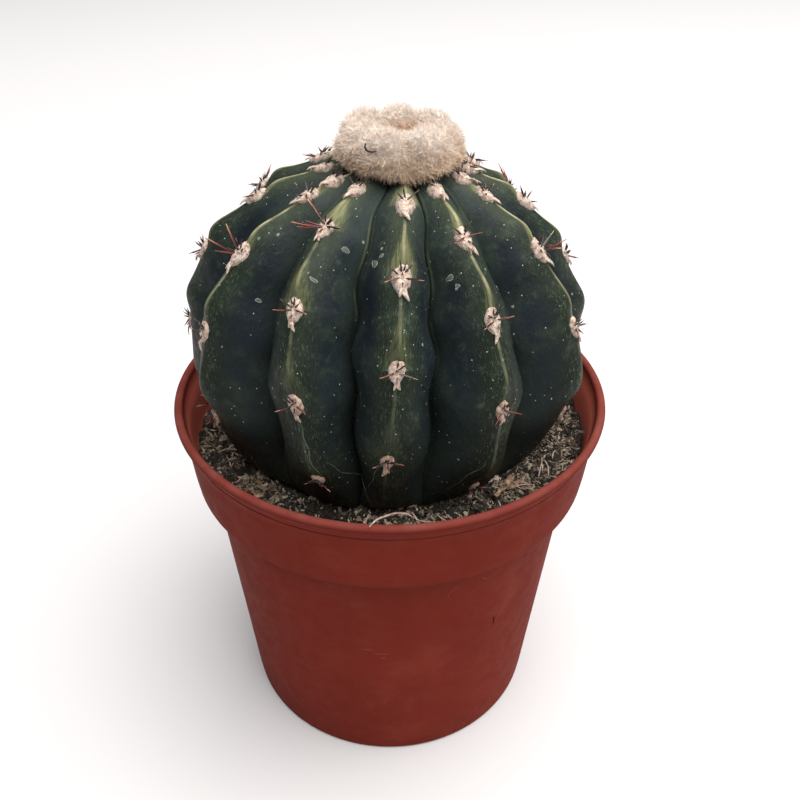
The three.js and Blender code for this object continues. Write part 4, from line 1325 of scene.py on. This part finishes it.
# %% [markdown]
# ## Potting mix
# The mix fills the pot to about 15 mm below its rim and is banked up a little round the plant.
# Its bed is a closed body by the solid's rule, with a finer top. Crumbs of coir, bark and grit
# in several sizes lie on it, grown over its top by one node tree.

# %% Bed of the potting mix
SOIL_HEIGHT, SOIL_TILT, SOIL_MOUND, CRUMB_RELIEF = 100, 2.4, 1.2, 0.7
GAP, POCKET_GAP, LEDGE_GAP = 0.3, 0.8, 0.36
BURIED = (-47, -53)
SOIL_RINGS = 22

fine_columns = 24
bed_rib = np.repeat(np.arange(len(RIBS)), fine_columns)
bed_station = np.tile(np.arange(fine_columns) / fine_columns * 2 - 1, len(RIBS))


def soil_height(points, bank):
    """Height of the potting mix at points, with its tilt, its bank and its lumps."""
    x, y = points[..., 0], points[..., 1]
    along = np.sin(0.55 * x + 1.3 * np.sin(0.31 * y))
    across = np.cos(0.62 * y - 0.9 * np.sin(0.27 * x))
    crumbs = along * across + 0.5 * np.sin(1.1 * x - 0.8 * y)
    return SOIL_HEIGHT + SOIL_TILT * x / RIM_RADIUS + SOIL_MOUND * bank + CRUMB_RELIEF * crumbs


def buried_ring(elevation, gap):
    return body_point(bed_rib, bed_station, np.full(len(bed_rib), float(elevation)), gap)


contact = buried_ring(SOIL_LINE, 0.1)
lowest = buried_ring(BURIED[-1], POCKET_GAP)
bed_azimuth = np.degrees(np.arctan2(contact[:, 0], -contact[:, 1]))
root_azimuth = np.degrees(np.arctan2(lowest[:, 0] - BODY_X, -lowest[:, 1]))
wall_inside = wall_radius(SOIL_HEIGHT) - WALL - 2 * GAP
wall_top = around(0, wall_inside, bed_azimuth, 0)


def bed_top():
    """Rings of the bed's top, from the plant out to the wall."""
    top_rings = []
    for t in np.linspace(0, 1, SOIL_RINGS):
        ring = contact + (wall_top - contact) * t
        ring[:, 2] = soil_height(ring, (1 - t) ** 2)
        fine = [noise.noise(Vector(p) / 4.5) * 1.8 + noise.noise(Vector(p) / 1.9) * 0.9 for p in ring]
        ring[:, 2] += np.array(fine)
        top_rings.append(ring)
    return top_rings


top_rings = bed_top()
bed_rings = [around(BODY_X, radius + POCKET_GAP, root_azimuth, z) for z, radius in ROOT_STOCK[::-1]]
bed_rings += [buried_ring(e, POCKET_GAP) for e in BURIED[::-1]]
bed_rings += top_rings
bed_rings += [around(0, wall_radius(INNER_STEP) - WALL - GAP, bed_azimuth, INNER_STEP + LEDGE_GAP),
              around(0, wall_radius(STEP_HEIGHT) - WALL - GAP, bed_azimuth,
                     STEP_HEIGHT + WALL / 2 + LEDGE_GAP),
              around(0, wall_radius(FLOOR_TOP) - WALL - GAP - FLOOR_ROUNDING, bed_azimuth, FLOOR_TOP + GAP)]
bed = mesh_piece("potting_mix_bed",
                 *loft(bed_rings, (BODY_X, 0, ROOT_TIP_Z - GAP), (0, 0, FLOOR_TOP + GAP)))


# %% [markdown]
# Dry potting mix is a jumble of brown coir, pale bark and grit. Each crumb keeps a random tone,
# and a ramp turns the tone into one of its colours.

# %% Potting mix and its crumbs
def potting_mix(name, stops, tone=None):
    """Dry coir, bark and grit: matt and dusty, in patches of dark and pale."""
    made, tree, shader = material(name, 0.95)
    place = add(tree, "place")
    grain = add(tree, "noise", place, 1 / (0.9 * MM), 4, 0.7)
    if tone:
        patches = add(tree, "noise", place, 1 / (14 * MM), 1)
        shift = add(tree, "range", patches, 0.35, 0.65, -0.14, 0.14)
        base = add(tree, "sum", add(tree, "attribute", attribute_name=tone), shift)
        factor = add(tree, "product and sum", grain, 0.3, base)
        factor = add(tree, "ShaderNodeMath", {0: factor, 1: 0.15}, operation="SUBTRACT")
    else:
        factor = add(tree, "range", grain, 0.3, 0.7)
    tree.links.new(add(tree, "ramp", factor, stops=stops), shader.inputs["Base Color"])
    tree.links.new(add(tree, "bump", grain, 0.3 * MM), shader.inputs["Normal"])
    return made


def crumb_tree(finish):
    """Angular crumbs on a surface, in drifts with dark gaps, each in one of four shapes."""
    tree, given, result = node_tree("crumbs", {
        "Density": "Float", "Size": "Vector", "Facets": "Int", "Tilt": "Vector", "Darkest": "Float",
        "Palest": "Float", "Seed": "Int"})
    seeds = [add(tree, "sum", given["Seed"], number) for number in (1, 2, 3, 4)]
    drifts = add(tree, "ShaderNodeTexNoise", {"Vector": add(tree, "GeometryNodeInputPosition"),
                                              "Scale": 1 / (6 * MM), "Detail": 2.0})
    drifts = add(tree, "ShaderNodeMapRange", {"Value": drifts, "From Min": 0.38, "From Max": 0.6,
                                              "To Min": 0.35, "To Max": 1.4})
    density = add(tree, "product", given["Density"], drifts)
    spots = add(tree, "GeometryNodeDistributePointsOnFaces",
                {"Mesh": given["Geometry"], "Density": density, "Seed": given["Seed"]})
    shapes = add(tree, "GeometryNodeJoinGeometry")
    for kind in range(4):
        lump = add(tree, "GeometryNodeMeshIcoSphere", {"Radius": 1.0, "Subdivisions": given["Facets"]})
        where = add(tree, "GeometryNodeInputPosition")
        apart = add(tree, "ShaderNodeVectorMath", {0: where, 1: (7.3 * kind, 0, 0)}, operation="ADD")
        uneven = add(tree, "ShaderNodeTexNoise", {"Vector": apart, "Scale": 1.1, "Detail": 1.0})
        swelling = add(tree, "ShaderNodeMapRange", {"Value": uneven, "From Min": 0.25, "From Max": 0.75,
                                                    "To Min": -0.55, "To Max": 0.35})
        push = add(tree, "scaled", where, swelling)
        lump = add(tree, "GeometryNodeSetPosition", {"Geometry": lump, "Offset": push})
        alone = add(tree, "GeometryNodeGeometryToInstance", {"Geometry": lump})
        tree.links.new(alone, shapes.node.inputs[0])
    spin = add(tree, "random vector", (-1.0, -1.0, -1.0), (1.0, 1.0, 1.0), seeds[0])
    spin = add(tree, "ShaderNodeVectorMath", {0: spin, 1: given["Tilt"]}, operation="MULTIPLY")
    turned = add(tree, "FunctionNodeEulerToRotation", {0: spin})
    size = add(tree, "random vector", (0.4, 0.5, 0.5), (1.6, 1.4, 1.4), seeds[1])
    size = add(tree, "ShaderNodeVectorMath", {0: size, 1: given["Size"]}, operation="MULTIPLY")
    copies = add(tree, "GeometryNodeInstanceOnPoints", {
        "Points": spots, "Instance": shapes, "Pick Instance": True,
        "Instance Index": add(tree, "random count", 0, 3, seeds[2]),
        "Rotation": turned, "Scale": size})
    tone = add(tree, "random number", given["Darkest"], given["Palest"], seeds[3])
    toned = add(tree, "GeometryNodeStoreNamedAttribute",
                {"Geometry": copies, "Name": "tone", "Value": tone},
                data_type="FLOAT", domain="INSTANCE")
    real = add(tree, "GeometryNodeRealizeInstances", {"Geometry": toned})
    finished = add(tree, "GeometryNodeSetMaterial", {"Geometry": real, "Material": finish})
    tree.links.new(finished, result["Geometry"])
    return tree


MIX_COLOURS = [(0.0, "0b0a08"), (0.2, "181512"), (0.42, "3b342b"), (0.64, "6e6558"), (0.87, "aca18f"),
               (0.97, "70604a")]
crumb_finish = potting_mix("coir_and_grit", MIX_COLOURS, tone="tone")
# Near-black bed under the crumbs: partly dark peat, partly painted shade in the gaps between the crumbs.
bed_finish = potting_mix("dark_potting_mix", [(0.0, "060504"), (0.6, "15110d"), (1.0, "2c251d")])
crumbs = crumb_tree(crumb_finish)


# half sizes in mm, density per square metre, facets, the most that they tilt and turn, and their tones
CRUMB_SIZES = {"coarse_crumbs": ((1.2, 0.6, 0.5), 3.0e5, 2, (0.9, 1.1, math.pi), (0.0, 0.95)),
               "flakes": ((1.4, 0.7, 0.15), 1.6e5, 2, (0.9, 1.1, math.pi), (0.3, 1.0)),
               "splinters": ((1.5, 0.3, 0.24), 8.0e5, 1, (0.7, 0.9, math.pi), (0.2, 0.95)),
               "fine_crumbs": ((0.6, 0.4, 0.34), 1.2e6, 1, (1.2, 1.2, math.pi), (0.0, 0.6))}
for number, (name, (size, density, facets, tilt, tones)) in enumerate(CRUMB_SIZES.items()):
    layer = grown(name, mesh_piece(name + "_carrier", *loft(top_rings[1:-1])), crumbs, {
        "Density": density, "Size": Vector(size) * MM, "Facets": facets, "Tilt": tilt,
        "Darkest": tones[0], "Palest": tones[1], "Seed": 31 + 7 * number})
    in_place(layer, crumb_finish, "soil")
in_place(bed, bed_finish, "soil", "soil")


# %% [markdown]
# ## Straw and bark
# A few bits lie on the mix that are too large and too odd for a random crumb: a split straw that
# leans on the lip at the front, thin stalks on the mix, a few chips of bark, and a dark scale that
# caught in the wool. Each is a tube along a bent path, and a chip of bark is a lumpy slab.

# %% Straws
# thickness, and points in mm: one from over the lip down to the mix, which splits, and two short ones
LEANING_STRAWS = [
    (0.3, [(-5.2, -64.3, 115.2), (-3.6, -61.9, 115.5), (-1.1, -58.2, 113.3), (0.9, -55.0, 111.2),
           (2.7, -50.6, 107.4), (6.2, -45.5, 102.5)]),
    (0.19, [(0.9, -55.0, 111.2), (4.0, -53.4, 109.8), (7.6, -53.0, 107.0)]),
    (0.22, [(5.6, -51.5, 108.6), (6.4, -54.5, 109.6), (7.6, -57.0, 109.0)]),
    (0.22, [(6.6, -55.4, 109.4), (8.6, -58.6, 111.6), (10.8, -61.5, 114.1)]),
]
LYING_STRAWS = 30


def straw(stops, thickness):
    path = np.stack(sampled(stops, 14)[1:], axis=-1)
    path[1:-1] = (path[:-2] + path[1:-1] + path[2:]) / 3
    taper = 1 - 0.6 * np.abs(np.linspace(-1, 1, 14)) ** 4
    return tube(path, thickness * taper, 6)


straws = [straw(stops, thickness) for thickness, stops in LEANING_STRAWS]
for _ in range(LYING_STRAWS):
    azimuth, heading = draw.uniform(0, 360), draw.uniform(0, math.pi)
    length, bend = draw.uniform(3, 9), draw.normal(0, 0.25)
    middle = around(0, draw.uniform(48.5, 55.5), azimuth, 0)
    t = np.linspace(-0.5, 0.5, 4)
    bowed = bend * t * t
    points = middle + length * np.stack([t * math.cos(heading) - bowed * math.sin(heading),
                                         t * math.sin(heading) + bowed * math.cos(heading), 0 * t], -1)
    points[:, 2] = soil_height(points, 0.1) + 1.3 + draw.uniform(-0.3, 0.6, 4)
    straws.append(straw(points, draw.uniform(0.1, 0.24)))
straw_piece = mesh_piece("straws", *joined(straws))

# a dry dark scale caught in the wool
SCALE = [(-5.9, -13.6, 193.8), (-6.2, -13.9, 193.0), (-5.8, -14.5, 192.2), (-4.5, -15.1, 192.0),
         (-3.3, -15.5, 192.5)]
scale_piece = mesh_piece("dark_scale", *straw(SCALE, 0.24))

# %% Bark chips
# place in mm, heading in degrees, and half sizes: the largest lies in front, a little to the right
BARK_CHIPS = [((32.6, -34.0, 102.7), 53, (6.2, 1.3, 0.7)), ((35.5, -33.5, 102.4), 35, (3.4, 1.1, 0.6)),
              ((4.2, -42.4, 102.0), 8, (3.2, 1.0, 0.35)), ((-38.0, -36.0, 101.5), -40, (3.0, 1.2, 0.5))]
BARK_SEED = 5                    # noise vectors start from the clock where no seed is set


def bark_chip(place, heading, half_sizes):
    """A lumpy slab along a heading, with its ends drawn in."""
    chip_rings = []
    for t in np.linspace(-1, 1, 27)[1:-1]:
        angles = -2 * np.pi * np.arange(16) / 16
        width = (1 - abs(t) ** 5) ** 0.5 * (0.8 + 0.2 * math.sin(5 * t + place[0]))
        ring = np.stack([np.full(16, t * half_sizes[0]), half_sizes[1] * width * np.cos(angles),
                         half_sizes[2] * width * np.sin(angles)], -1)
        for p in ring:
            lumps = 0.7 * np.array(noise.noise_vector((Vector(p) + Vector(place)) / 1.5))
            p += lumps + (0, 0, 0.5 * math.cos(1.3 * t))
        chip_rings.append(ring)
    points, faces = loft(chip_rings, chip_rings[0].mean(0), chip_rings[-1].mean(0))
    turn = np.array(Matrix.Rotation(math.radians(heading), 3, "Z"))
    return np.array(points) @ turn.T + place, faces


noise.seed_set(BARK_SEED)
bark_piece = mesh_piece("bark_chips", *joined([bark_chip(*chip) for chip in BARK_CHIPS]))


# %% Dry stalk and bark
def dry_stalk(name, stops):
    """Dry plant fibre: matt, bleached, streaked along its length."""
    made, tree, shader = material(name, 0.85)
    grain = add(tree, "noise", add(tree, "place"), 1 / (1.2 * MM), 5, 0.7)
    tree.links.new(add(tree, "ramp", add(tree, "range", grain, 0.3, 0.7), stops=stops),
                   shader.inputs["Base Color"])
    tree.links.new(add(tree, "bump", grain, 0.2 * MM), shader.inputs["Normal"])
    return made


in_place(straw_piece, dry_stalk("bleached_straw", [(0.0, "7c6a60"), (1.0, "c2aea1")]), "soil")
in_place(bark_piece, dry_stalk("weathered_bark", [(0.0, "2b2119"), (0.5, "6f5c4a"), (1.0, "9c8671")]),
         "soil")
in_place(scale_piece, dry_stalk("dry_bud_scale", [(0.0, "120d09"), (1.0, "2e2118")]), "wool")
